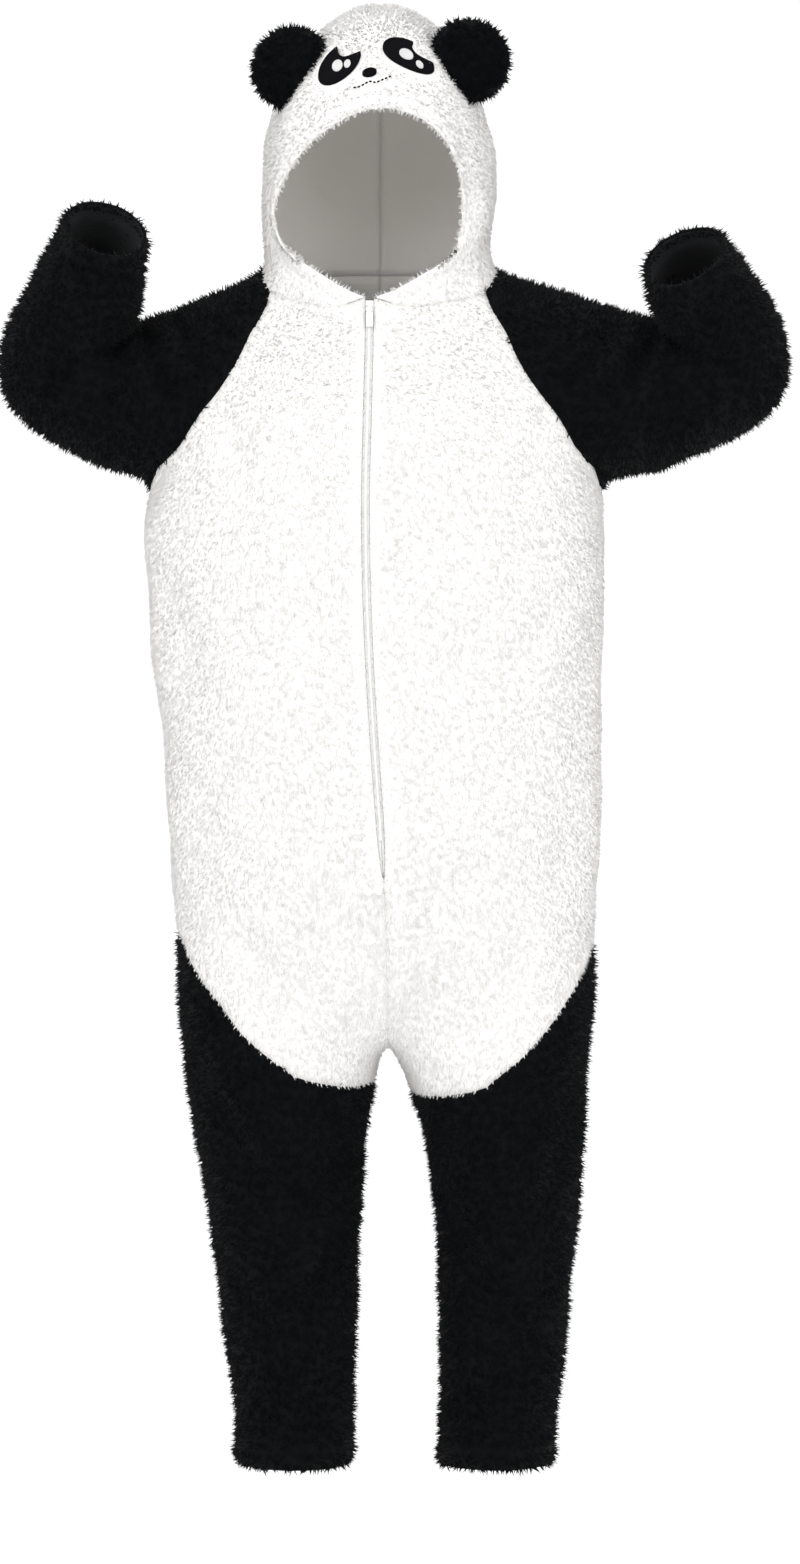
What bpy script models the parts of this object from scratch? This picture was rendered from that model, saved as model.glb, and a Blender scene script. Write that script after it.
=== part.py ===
"""A child's hooded panda onesie in plush cloth, built hollow from its sewn panels.

The garment is in the pose of a wearer with both forearms raised. Its origin is the middle of the
neckline at shoulder height: +Z is up, -Y is the garment's front, and +X is the wearer's left.
"""

import math
from collections import namedtuple

import bmesh
import bpy
from mathutils import Matrix, Vector
from mathutils.bvhtree import BVHTree

MM = 0.001

# Cloth and seams
WALL = 3.0 * MM
SEAM_GAP = 0.3 * MM
QUARTER = 5                 # cage columns from centre front to side, below the arms
NECK_COLUMNS = 2            # of those, the columns that reach the neckline
RAGLAN_ROWS = QUARTER - NECK_COLUMNS
COLUMNS = 4 * QUARTER
LEG_COLUMNS = 2 * QUARTER + 2
SLEEVE_COLUMNS = 2 * RAGLAN_ROWS + 2
HOOD_SIDE = 4               # cage rows up each side of a hood hoop
HOOD_TOP = 4                # cage columns over the top of a hood hoop
HOOP = 2 * HOOD_SIDE + HOOD_TOP

# Zip
ZIP_HALF_GAP = 4.0 * MM     # from the centre line to each front's edge
ZIP_END_Z = -520 * MM
CHAIN_HALF_WIDTH = 2.5 * MM
CHAIN_DEPTH = (-4.3 * MM, -1.4 * MM)
TAPE_WIDTH = 10.0 * MM
TAPE_DEPTH = (-5.3 * MM, -4.6 * MM)
TAPE_SPLIT = 0.3 * MM       # from the centre line to each tape's edge
SLIDER_SIZE = Vector((7.2, 5.3, 11.0)) * MM
SLIDER_BACK = -4.2 * MM
SLIDER_DROP = 9.0 * MM      # from the top of the zip to the slider's middle
PIN_RADIUS = 0.6 * MM
PIN_OUT = 3.4 * MM          # from the cloth to the pin's axis
POST_SIZE = Vector((1.0, 3.6, 2.0)) * MM
POST_X = 2.7 * MM
EYE_RADIUS = 1.7 * MM
EYE_BORE = 0.95 * MM
EYE_WIDTH = 3.6 * MM
TAB_NECK = Vector((3.6, 1.2, 8.0)) * MM
TAB_GRIP = Vector((6.6, 1.6, 14.0)) * MM

# Rows of the body, from the crotch up to the underarm. Reach is from the middle plane to the side.
TorsoRow = namedtuple("TorsoRow", "z_middle z_side reach_right reach_left front back dip shift")
TORSO_ROWS = (
    TorsoRow(-681, -530, 194, 203, 108, 112, 44, 5),
    TorsoRow(-600, -470, 197, 205, 113, 112, 8, 8),
    TorsoRow(-505, -400, 202, 205, 124, 120, 0, 2),
    TorsoRow(-395, -330, 208, 204, 131, 123, 0, -6),
    TorsoRow(-285, -255, 217, 209, 135, 123, 0, -12),
    TorsoRow(-175, -181, 219, 211, 133, 118, 0, -13),
)

# Rows above the underarm, each from the centre line to the raglan seam, ending at the neckline.
# The seam's reach differs a little between the raised arms.
RaglanRow = namedtuple("RaglanRow", "y_middle z_middle shift reach_right reach_left y_seam z_seam")
FRONT_RAGLAN = (
    RaglanRow(-130, -118, -12, 173, 176, -88, -134),
    RaglanRow(-112, -66, -11, 134, 132, -88, -67),
    RaglanRow(-82, -14, -10, 89, 86, -48, 11),
)
BACK_RAGLAN = (
    RaglanRow(118, -112, 0, 174, 176, 84, -122),
    RaglanRow(102, -42, 0, 128, 128, 90, -42),
    RaglanRow(76, 28, 0, 66, 66, 64, 30),
)
NECK_POINT = (94, 10, 24)   # the neckline where it crosses the shoulder

# Sections of a sleeve after the raglan seam: the middle, half sizes, and the way the arm points,
# turned up from sideways and leaning forward from the picture plane, in degrees.
SleeveRow = namedtuple("SleeveRow", "out y z across deep turn lean")
SLEEVE_ROWS = {
    "right": (
        SleeveRow(195, 0, -78, 103, 86, 30, 0),
        SleeveRow(244, -5, -77, 83, 73, 40, 4),
        SleeveRow(291, -16, -62, 73, 64, 60, 12),
        SleeveRow(288, -33, -34, 65, 59, 85, 24),
        SleeveRow(270, -60, 2, 52, 52, 108, 34),
        SleeveRow(257.5, -84, 31, 46, 47, 110, 36),
        SleeveRow(246.5, -106, 58, 41, 43, 110, 36),
    ),
    "left": (
        SleeveRow(191, 0, -79, 98, 86, 22, 0),
        SleeveRow(249, -5, -78, 83, 73, 30, 4),
        SleeveRow(318, -16, -63, 76, 64, 57, 12),
        SleeveRow(318, -33, -35, 68, 59, 75, 24),
        SleeveRow(299, -60, -3, 53, 52, 110, 34),
        SleeveRow(288, -80, 14, 47, 47, 116, 36),
        SleeveRow(277, -98, 33, 41, 43, 118, 36),
    ),
}

# Rows of a leg below the crotch. The first is the curved seam between white and black.
LegRow = namedtuple("LegRow", "z_inseam z_side inner outer depth y")
LEG_ROWS = {
    "right": (
        LegRow(-728, -569, 9, 189, 95, 2),
        LegRow(-780, -660, 13, 186, 88, 2),
        LegRow(-832, -760, 20, 175, 80, 2),
        LegRow(-902, -870, 21, 156, 72, 4),
        LegRow(-985, -975, 24, 141, 65, 6),
        LegRow(-1085, -1085, 28, 132, 59, 8),
    ),
    "left": (
        LegRow(-742, -586, 33, 201, 95, 2),
        LegRow(-787, -665, 43, 196, 88, 2),
        LegRow(-837, -765, 52, 189, 80, 2),
        LegRow(-902, -870, 57, 183, 72, 4),
        LegRow(-985, -975, 59, 170, 65, 6),
        LegRow(-1085, -1085, 54, 163, 59, 8),
    ),
}
CROTCH_POINT = (9, 4, -649)
LEG_SWEEP = 2.7             # how late the thigh seam climbs towards the side

# The hood's front edge from the zip to the crown, one column of points for each side.
EdgePoint = namedtuple("EdgePoint", "reach_right reach_left y z_right z_left")
HOOD_EDGE = (
    EdgePoint(52, 38, -80, 21, 19),
    EdgePoint(95, 75, -67, 36, 36),
    EdgePoint(104, 80, -74, 81, 81),
    EdgePoint(73, 71, -97, 126, 130),
    EdgePoint(37, 42, -111, 158, 161),
)
HOOD_CROWN = (0, -116, 171)

# Hoops of the hood behind its edge, from one side of the neckline over the crown to the other.
HoodHoop = namedtuple("HoodHoop", "reach_right reach_left z_top y_low y_top")
HOOD_HOOPS = (
    HoodHoop(107, 99, 234, -62, -86),
    HoodHoop(112, 109, 266, -40, -34),
    HoodHoop(114, 112, 280, 0, 30),
    HoodHoop(104, 104, 268, 58, 88),
)
HOOP_SHAPE = ((1.00, 0.20), (0.96, 0.43), (0.82, 0.68), (0.58, 0.87), (0.30, 0.975))
HOOD_BACK = ((122, 84), (152, 142), (142, 208))   # y and z down the middle of the back
HOOD_BACK_FULLNESS = 0.78

# Face, set out on a plane that faces the hood's front: u to the wearer's left, v up.
FACE_MIDDLE = Vector((-5, -88, 214)) * MM
FACE_TILT = math.radians(7)          # turn of the eyes' line about the view
FACE_RISE = math.radians(45)         # how far the forehead slopes back
FELT_DEPTH = (1.5 * MM, 2.6 * MM)
GLINT_DEPTH = (2.9 * MM, 3.4 * MM)
Oval = namedtuple("Oval", "u v across up turn")
Bite = namedtuple("Bite", "u v radius")
EYES = {
    "right": (Oval(-31.2, 3.6, 22.0, 18.0, 0.8), Bite(-21.2, 15.0, 9.8)),
    "left": (Oval(31.8, 1.6, 24.3, 16.5, -0.45), Bite(46.4, 10.0, 10.2)),
}
GLINTS = {
    "glint_right_large": Oval(-33.6, -0.6, 4.6, 6.4, 0.2),
    "glint_right_small": Oval(-24.8, -3.4, 3.0, 4.2, 0.0),
    "glint_left_large": Oval(29.4, -1.0, 6.4, 5.8, -0.2),
    "glint_left_small": Oval(40.6, -9.4, 3.4, 3.8, 0.0),
}
NOSE = Oval(-6.2, -17.6, 6.6, 4.0, 0.0)
PATCH_POINTS = 32
GLINT_POINTS = 14

# Ears: stuffed discs that stand on the seam between the face and the hood's sides.
Ear = namedtuple("Ear", "x y z outward")
EARS = {
    "right": Ear(-79, -50, 207, 142),
    "left": Ear(81, -50, 214, 38),
}
EAR_RADIUS = 38 * MM
EAR_DEPTH = 15 * MM
EAR_CLEARANCE = 1.5 * MM
EAR_TURN = math.radians(12)

# Colours
WHITE_PLUSH = ("white_plush", (0.90, 0.885, 0.865), 0.95, 0.0)
BLACK_PLUSH = ("black_plush", (0.006, 0.008, 0.012), 0.85, 0.0)
BLACK_FELT = ("black_felt", (0.010, 0.010, 0.012), 0.9, 0.0)
WHITE_FELT = ("white_felt", (0.88, 0.88, 0.87), 0.85, 0.0)
ZIP_TAPE = ("zip_tape", (0.86, 0.86, 0.85), 0.8, 0.0)
ZIP_NYLON = ("zip_nylon", (0.88, 0.88, 0.88), 0.4, 0.0)
ZIP_METAL = ("zip_enamel", (0.85, 0.85, 0.86), 0.3, 0.3)

PANELS = (
    ("front_left", WHITE_PLUSH), ("front_right", WHITE_PLUSH),
    ("back_left", WHITE_PLUSH), ("back_right", WHITE_PLUSH),
    ("sleeve_left", BLACK_PLUSH), ("sleeve_right", BLACK_PLUSH),
    ("leg_front_left", BLACK_PLUSH), ("leg_front_right", BLACK_PLUSH),
    ("leg_back_left", BLACK_PLUSH), ("leg_back_right", BLACK_PLUSH),
    ("hood_face", WHITE_PLUSH),
    ("hood_side_left", WHITE_PLUSH), ("hood_side_right", WHITE_PLUSH),
)
PANEL_NAMES = [name for name, _ in PANELS]
SIDES = {"left": 1, "right": -1}


# ---------------------------------------------------------------- scene and materials

def clear_scene():
    """Remove the objects and collections that a new file starts with."""
    for item in list(bpy.data.objects):
        bpy.data.objects.remove(item, do_unlink=True)
    for collection in list(bpy.data.collections):
        bpy.data.collections.remove(collection)


def new_collection(name):
    """Link an empty collection to the scene."""
    collection = bpy.data.collections.new(name)
    bpy.context.scene.collection.children.link(collection)
    return collection


def finish_material(finish):
    """Return the Principled material for a (name, colour, roughness, metallic) row."""
    name, colour, roughness, metallic = finish
    material = bpy.data.materials.get(name)
    if material is None:
        material = bpy.data.materials.new(name)
        material.use_nodes = True
        shader = material.node_tree.nodes["Principled BSDF"]
        shader.inputs["Base Color"].default_value = (*colour, 1.0)
        shader.inputs["Roughness"].default_value = roughness
        shader.inputs["Metallic"].default_value = metallic
        material.diffuse_color = (*colour, 1.0)
    return material


def new_object(name, mesh, collection, finish=None):
    """Wrap a mesh in an object, in a collection, with one finish."""
    item = bpy.data.objects.new(name, mesh)
    collection.objects.link(item)
    if finish is not None:
        mesh.materials.clear()
        mesh.materials.append(finish_material(finish))
    return item


def mesh_from(work, name):
    """Turn a bmesh into a mesh whose faces point out, shaded smooth up to sharp edges."""
    bmesh.ops.recalc_face_normals(work, faces=work.faces)
    mesh = bpy.data.meshes.new(name)
    work.to_mesh(mesh)
    work.free()
    mesh.shade_smooth()
    mesh.set_sharp_from_angle(angle=math.radians(50))
    return mesh


# ---------------------------------------------------------------- the garment's cage

def fullness(columns):
    """How much larger a cage ring is than the ring that one subdivision makes of it."""
    return 8.0 / (6.0 + 2.0 * math.cos(2.0 * math.pi / columns))


def curve_power(value, power):
    """Raise a signed sine or cosine to a power and keep its sign."""
    return math.copysign(abs(value) ** power, value)


class Cage:
    """The coarse surface of the whole garment, its faces numbered by panel."""

    def __init__(self):
        self.work = bmesh.new()

    def point(self, x, y, z):
        """Add a point given in millimetres."""
        return self.work.verts.new(Vector((x, y, z)) * MM)

    def face(self, corners, panel):
        """Add a face that belongs to a panel."""
        face = self.work.faces.new(corners)
        face.material_index = PANEL_NAMES.index(panel)

    def strip(self, lower, upper, panel_of):
        """Fill between two rows; panel_of gives the panel of each step along them."""
        for step in range(len(lower) - 1):
            corners = (lower[step], lower[step + 1], upper[step + 1], upper[step])
            self.face(corners, panel_of(step))


def torso_ring(cage, row):
    """One ring round the body, from centre front past the wearer's left side."""
    full = fullness(COLUMNS)
    ring = []
    for column in range(COLUMNS):
        angle = 2.0 * math.pi * column / COLUMNS
        across = math.sin(angle)
        along = -math.cos(angle)
        reach = row.reach_left if across > 0 else row.reach_right
        depth = row.front if along < 0 else row.back
        x = reach * full * curve_power(across, 0.86) + row.shift * max(-along, 0.0) ** 2
        y = depth * full * curve_power(along, 0.82) - row.dip * curve_power(along, 10)
        z = row.z_middle + (row.z_side - row.z_middle) * abs(across) ** 2.2
        ring.append(cage.point(x, y, z))
    return ring


def raglan_row(cage, row, columns):
    """One row over the chest or back, from the right raglan seam to the left one."""
    points = []
    for column in range(-columns, columns + 1):
        part = abs(column) / columns
        reach = row.reach_left if column > 0 else -row.reach_right
        x = row.shift + (reach - row.shift) * part
        y = row.y_middle + (row.y_seam - row.y_middle) * part ** 2.2
        z = row.z_middle + (row.z_seam - row.z_middle) * part ** 1.6
        points.append(cage.point(x, y, z))
    return points


def build_torso(cage):
    """Build the body up to the underarms, and return its rings."""
    rings = [torso_ring(cage, row) for row in TORSO_ROWS]
    quarters = ("front_left", "back_left", "back_right", "front_right")
    for lower, upper in zip(rings, rings[1:]):
        cage.strip(lower + lower[:1], upper + upper[:1], lambda step: quarters[step // QUARTER])
    return rings


def build_chest(cage, ring, table, name, turn):
    """Build front or back above the underarm ring; turn is the ring's middle column.

    Returns the rows, each running from the wearer's right to the left.
    """
    direction = 1 if turn == 0 else -1
    first = [ring[(turn + direction * column) % COLUMNS] for column in range(-QUARTER, QUARTER + 1)]
    rows = [first]
    for number, row in enumerate(table):
        columns = QUARTER - 1 - number
        rows.append(raglan_row(cage, row, columns))
    for lower, upper in zip(rows, rows[1:]):
        last = len(lower) - 1
        half = last // 2
        cage.face((lower[0], lower[1], upper[0]), name + "_right")
        cage.face((lower[last - 1], lower[last], upper[-1]), name + "_left")
        cage.strip(lower[1:-1], upper,
                   lambda step, half=half: name + ("_right" if step < half - 1 else "_left"))
    return rows


def sleeve_ring(cage, row, side):
    """One ring round a sleeve, from under the arm by its front."""
    full = fullness(SLEEVE_COLUMNS)
    turn = math.radians(row.turn)
    lean = math.radians(row.lean)
    forward = Vector((math.cos(turn) * math.cos(lean), -math.sin(lean),
                      math.sin(turn) * math.cos(lean)))
    under = Vector((math.sin(turn), 0.0, -math.cos(turn)))
    front = under.cross(forward).normalized()
    if front.y > 0:
        front.negate()
    ring = []
    for column in range(SLEEVE_COLUMNS):
        angle = 2.0 * math.pi * column / SLEEVE_COLUMNS
        place = Vector((row.out, row.y, row.z))
        place += under * (row.across * full * math.cos(angle))
        place += front * (row.deep * full * math.sin(angle))
        ring.append(cage.point(SIDES[side] * place.x, place.y, place.z))
    return ring


def build_sleeve(cage, side, front_rows, back_rows, neck):
    """Build a sleeve from its raglan seam to the cuff."""
    end = -1 if side == "left" else 0
    front_seam = [row[end] for row in front_rows[1:]]
    back_seam = [row[end] for row in back_rows[1:]]
    loops = [[front_rows[0][end]] + front_seam + [neck] + back_seam[::-1]]
    loops += [sleeve_ring(cage, row, side) for row in SLEEVE_ROWS[side]]
    for lower, upper in zip(loops, loops[1:]):
        cage.strip(lower + lower[:1], upper + upper[:1], lambda step: "sleeve_" + side)


def leg_ring(cage, row, side):
    """One ring round a leg: front of the inseam first, the inseam last."""
    full = fullness(LEG_COLUMNS)
    middle = (row.inner + row.outer) / 2
    half = (row.outer - row.inner) / 2 * full
    ring = []
    for column in range(LEG_COLUMNS):
        angle = 2.0 * math.pi * (column + 1) / LEG_COLUMNS
        x = SIDES[side] * (middle - half * math.cos(angle))
        y = row.y - row.depth * full * math.sin(angle)
        climb = ((1.0 - math.cos(angle)) / 2) ** LEG_SWEEP
        ring.append(cage.point(x, y, row.z_inseam + (row.z_side - row.z_inseam) * climb))
    return ring


def build_leg(cage, side, hips, crotch):
    """Build a leg from the crotch to the hem. Its top strip is white, as part of the body."""
    step_round = SIDES[side]
    top = [hips[(step_round * column) % COLUMNS] for column in range(2 * QUARTER + 1)]
    loops = [top + [crotch]]
    loops += [leg_ring(cage, row, side) for row in LEG_ROWS[side]]
    for number, (upper, lower) in enumerate(zip(loops, loops[1:])):
        piece = "{}_" if number == 0 else "leg_{}_"

        def panel_of(step, piece=piece):
            at_front = step < QUARTER or step == LEG_COLUMNS - 1
            return piece.format("front" if at_front else "back") + side

        cage.strip(upper + upper[:1], lower + lower[:1], panel_of)


def hood_hoop(cage, row, feet):
    """One hoop of the hood between two points of the neckline."""
    z_low = feet[0].co.z / MM
    shape = []
    for across, rise in HOOP_SHAPE:
        y = row.y_low + (row.y_top - row.y_low) * rise
        shape.append((across, y, z_low + (row.z_top - z_low) * rise))
    right = [cage.point(-row.reach_right * across, y, z) for across, y, z in shape]
    left = [cage.point(row.reach_left * across, y, z) for across, y, z in shape]
    top = cage.point(0, row.y_top, row.z_top)
    return [feet[0]] + right + [top] + left[::-1] + [feet[1]]


def hood_edge(cage, foot):
    """The hood's front edge, which starts and ends at the top of the zip."""
    right = [cage.point(-p.reach_right, p.y, p.z_right) for p in HOOD_EDGE]
    left = [cage.point(p.reach_left, p.y, p.z_left) for p in HOOD_EDGE]
    return [foot] + right + [cage.point(*HOOD_CROWN)] + left[::-1] + [foot]


def build_hood(cage, front_neck, back_neck, necks):
    """Build the hood from the neckline up, and its back between the last hoop's sides."""
    middle = NECK_COLUMNS
    feet = [(front_neck[middle - column], front_neck[middle + column])
            for column in range(1, NECK_COLUMNS + 1)]
    feet += [(necks["right"], necks["left"]), (back_neck[0], back_neck[-1])]
    hoops = [hood_edge(cage, front_neck[middle])]
    hoops += [hood_hoop(cage, row, ends) for row, ends in zip(HOOD_HOOPS, feet)]
    for number, (near, far) in enumerate(zip(hoops, hoops[1:])):
        if number < NECK_COLUMNS:
            cage.strip(near, far, lambda step: "hood_face")
        else:
            cage.strip(near, far, lambda step: side_panel(step, HOOP // 2))
    last = hoops[-1]
    rows = [list(back_neck)]
    for height, (y, z) in enumerate(HOOD_BACK, start=1):
        ends = (last[height], last[-1 - height])
        inner = []
        for column in range(1, HOOD_TOP):
            part = 2 * column / HOOD_TOP - 1
            end = ends[1] if part > 0 else ends[0]
            bulge = 1 - abs(part) ** 2 * (4 * (1 - HOOD_BACK_FULLNESS))
            inner.append(cage.point(abs(part) * end.co.x / MM,
                                    end.co.y / MM + (y - end.co.y / MM) * bulge,
                                    end.co.z / MM + (z - end.co.z / MM) * bulge))
        rows.append([ends[0]] + inner + [ends[1]])
    rows.append(last[HOOD_SIDE:HOOD_SIDE + HOOD_TOP + 1])
    for lower, upper in zip(rows, rows[1:]):
        cage.strip(lower, upper, lambda step: side_panel(step, HOOD_TOP // 2))


def side_panel(step, middle):
    """The hood's side panel for a step along a row that starts on the wearer's right."""
    return "hood_side_right" if step < middle else "hood_side_left"


def build_cage():
    """Return the garment's whole surface as one coarse mesh."""
    cage = Cage()
    rings = build_torso(cage)
    front_rows = build_chest(cage, rings[-1], FRONT_RAGLAN, "front", 0)
    back_rows = build_chest(cage, rings[-1], BACK_RAGLAN, "back", 2 * QUARTER)
    crotch = cage.point(*CROTCH_POINT)
    necks = {}
    for side, sign in SIDES.items():
        x, y, z = NECK_POINT
        necks[side] = cage.point(sign * x, y, z)
        build_sleeve(cage, side, front_rows, back_rows, necks[side])
        build_leg(cage, side, rings[0], crotch)
    build_hood(cage, front_rows[-1], back_rows[-1], necks)
    bmesh.ops.recalc_face_normals(cage.work, faces=cage.work.faces)
    mesh = bpy.data.meshes.new("cage")
    cage.work.to_mesh(mesh)
    cage.work.free()
    for name, _ in PANELS:
        mesh.materials.append(None)
    return mesh


def walled_garment(collection):
    """Subdivide the cage and give it its wall; return the mesh and its number of outer points.

    The outer points come first, and each inner point follows at the same place in the list.
    """
    cage = new_object("cage", build_cage(), collection)
    cage.hide_render = True
    cage.display_type = "WIRE"
    smooth = cage.modifiers.new("smooth", "SUBSURF")
    smooth.levels = 1
    smooth.render_levels = 1
    smooth.boundary_smooth = "ALL"
    cage.modifiers.new("triangles", "TRIANGULATE").quad_method = "SHORTEST_DIAGONAL"
    view = bpy.context.evaluated_depsgraph_get()
    outer_count = len(cage.evaluated_get(view).data.vertices)
    wall = cage.modifiers.new("wall", "SOLIDIFY")
    wall.thickness = WALL
    wall.offset = -1.0
    wall.use_rim = False
    view = bpy.context.evaluated_depsgraph_get()
    mesh = bpy.data.meshes.new_from_object(cage.evaluated_get(view))
    bpy.data.objects.remove(cage, do_unlink=True)
    return mesh, outer_count


# ---------------------------------------------------------------- panels cut from the garment

def outward_of(mesh, outer_count):
    """The direction through the wall at each outer point."""
    points = mesh.vertices
    return [(points[number].co - points[number + outer_count].co).normalized()
            for number in range(outer_count)]


def panels_at_edges(mesh, outer_count):
    """For each edge of the outer surface, the panels on its two sides."""
    beside = {}
    for face in mesh.polygons:
        if face.vertices[0] < outer_count:
            for key in face.edge_keys:
                beside.setdefault(key, []).append(face.material_index)
    return beside


def edge_inset(key, beside, mesh):
    """How far a panel stops short of one of its border edges."""
    sides = beside[key]
    if len(sides) < 2:
        return 0.0
    fronts = {PANEL_NAMES.index("front_left"), PANEL_NAMES.index("front_right")}
    height = min(mesh.vertices[number].co.z for number in key)
    if set(sides) == fronts and height > ZIP_END_Z:
        return ZIP_HALF_GAP
    return SEAM_GAP / 2


def corner_move(pulls):
    """The move that draws a corner back from its border edges by their insets."""
    (first, inset_1), (second, inset_2) = pulls
    lean = first.dot(second)
    if lean > 0.999:
        return first * max(inset_1, inset_2)
    along_1 = (inset_1 - inset_2 * lean) / (1.0 - lean * lean)
    along_2 = (inset_2 - inset_1 * lean) / (1.0 - lean * lean)
    return first * along_1 + second * along_2


def cut_panel(mesh, outer_count, panel, beside, outward):
    """Make one closed panel: both skins of its faces, drawn back at seams, and a rim.

    A border is drawn back square to the wall, so the rims of two panels run side by side.
    """
    faces = [face for face in mesh.polygons
             if face.material_index == panel and face.vertices[0] < outer_count]
    uses = {}
    for face in faces:
        for key in face.edge_keys:
            uses[key] = uses.get(key, 0) + 1
    points = mesh.vertices
    pulls = {}
    rims = []
    for face in faces:
        corners = list(face.vertices)
        for number, start in enumerate(corners):
            end = corners[(number + 1) % len(corners)]
            key = (min(start, end), max(start, end))
            if uses[key] == 1:
                along = points[end].co - points[start].co
                inward = (outward[start] + outward[end]).cross(along).normalized()
                inset = edge_inset(key, beside, mesh)
                face_side = face.center.x > 0
                for corner in (start, end):
                    pulls.setdefault(corner, []).append((inward, inset, face_side))
                rims.append((*key, face_side))

    work = bmesh.new()
    made = {}

    def copy_of(number, face_side):
        """Outer and inner copies of a point; a point where two corners touch has two pairs."""
        borders = pulls.get(number, [])
        key = (number, face_side if len(borders) > 2 else None)
        if key not in made:
            mine = [pull[:2] for pull in borders if len(borders) == 2 or pull[2] == face_side]
            move = Vector((0.0, 0.0, 0.0))
            if mine:
                move = corner_move(mine)
            if len(borders) > 2:
                move.x += ZIP_HALF_GAP if face_side else -ZIP_HALF_GAP
            made[key] = (work.verts.new(points[number].co + move),
                         work.verts.new(points[number + outer_count].co + move))
        return made[key]

    for face in faces:
        face_side = face.center.x > 0
        pairs = [copy_of(number, face_side) for number in face.vertices]
        work.faces.new([outer for outer, _ in pairs])
        work.faces.new([inner for _, inner in reversed(pairs)])
    for low, high, face_side in rims:
        low_outer, low_inner = copy_of(low, face_side)
        high_outer, high_inner = copy_of(high, face_side)
        work.faces.new((low_outer, high_outer, high_inner))
        work.faces.new((low_outer, high_inner, low_inner))
    return mesh_from(work, PANEL_NAMES[panel])


def build_panels(mesh, outer_count, collection):
    """Cut every panel out of the walled garment."""
    beside = panels_at_edges(mesh, outer_count)
    outward = outward_of(mesh, outer_count)
    for panel, (name, finish) in enumerate(PANELS):
        piece = cut_panel(mesh, outer_count, panel, beside, outward)
        new_object(name, piece, collection, finish)
    return beside, outward


# ---------------------------------------------------------------- zip

class ZipLine:
    """The centre line of the fronts from the neckline to the end of the zip."""

    def __init__(self, mesh, beside, outward):
        fronts = {PANEL_NAMES.index("front_left"), PANEL_NAMES.index("front_right")}
        numbers = {number for key, sides in beside.items() if set(sides) == fronts
                   for number in key if mesh.vertices[number].co.z > ZIP_END_Z - 0.03}
        ordered = sorted(numbers, key=lambda number: -mesh.vertices[number].co.z)
        self.points = [mesh.vertices[number].co.copy() for number in ordered]
        self.outward = [outward[number] for number in ordered]
        self.lengths = [0.0]
        for start, end in zip(self.points, self.points[1:]):
            self.lengths.append(self.lengths[-1] + (end - start).length)

    def at(self, length):
        """The place and outward direction at a length down from the neckline."""
        for number in range(1, len(self.points)):
            if length <= self.lengths[number] or number == len(self.points) - 1:
                span = self.lengths[number] - self.lengths[number - 1]
                part = (length - self.lengths[number - 1]) / span
                place = self.points[number - 1].lerp(self.points[number], part)
                out = self.outward[number - 1].lerp(self.outward[number], part)
                return place, out.normalized()
        return self.points[0], self.outward[0]


def build_strip(name, line, start, x_span, depth_span, collection, finish, short_of_end=0):
    """Run a flat strip down the zip line from a length below the neckline."""
    stops = [start] + [length for length in line.lengths[1:len(line.lengths) - short_of_end]
                       if length > start + 3 * MM]
    work = bmesh.new()
    rings = []
    for stop in stops:
        place, out = line.at(stop)
        corners = ((x_span[0], depth_span[0]), (x_span[1], depth_span[0]),
                   (x_span[1], depth_span[1]), (x_span[0], depth_span[1]))
        rings.append([work.verts.new(place + Vector((x, 0, 0)) + out * depth)
                      for x, depth in corners])
    for upper, lower in zip(rings, rings[1:]):
        for number in range(4):
            after = (number + 1) % 4
            work.faces.new((upper[number], upper[after], lower[after], lower[number]))
    work.faces.new(rings[0])
    work.faces.new(rings[-1])
    new_object(name, mesh_from(work, name), collection, finish)


def box_mesh(size, middle, bevel):
    """A box with eased edges."""
    work = bmesh.new()
    bmesh.ops.create_cube(work, size=1.0)
    bmesh.ops.scale(work, vec=size, verts=work.verts)
    bmesh.ops.translate(work, vec=middle, verts=work.verts)
    bmesh.ops.bevel(work, geom=work.edges[:], offset=bevel, segments=2, profile=0.5,
                    affect="EDGES", material=-1)
    return mesh_from(work, "box")


def rod_mesh(radius, length, middle):
    """A round rod along X."""
    work = bmesh.new()
    bmesh.ops.create_cone(work, cap_ends=True, segments=16, radius1=radius, radius2=radius,
                          depth=length, matrix=Matrix.Rotation(math.pi / 2, 4, "Y"))
    bmesh.ops.translate(work, vec=middle, verts=work.verts)
    return mesh_from(work, "rod")


def combine(target, meshes, operation, cutters):
    """Apply Boolean unions or cuts to an object, one helper mesh at a time."""
    for mesh in meshes:
        helper = new_object("helper", mesh, cutters)
        helper.hide_render = True
        helper.display_type = "WIRE"
        step = target.modifiers.new("shape", "BOOLEAN")
        step.operation = operation
        step.object = helper
        view = bpy.context.evaluated_depsgraph_get()
        shaped = bpy.data.meshes.new_from_object(target.evaluated_get(view))
        target.modifiers.clear()
        target.data = shaped
        bpy.data.objects.remove(helper, do_unlink=True)


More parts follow.
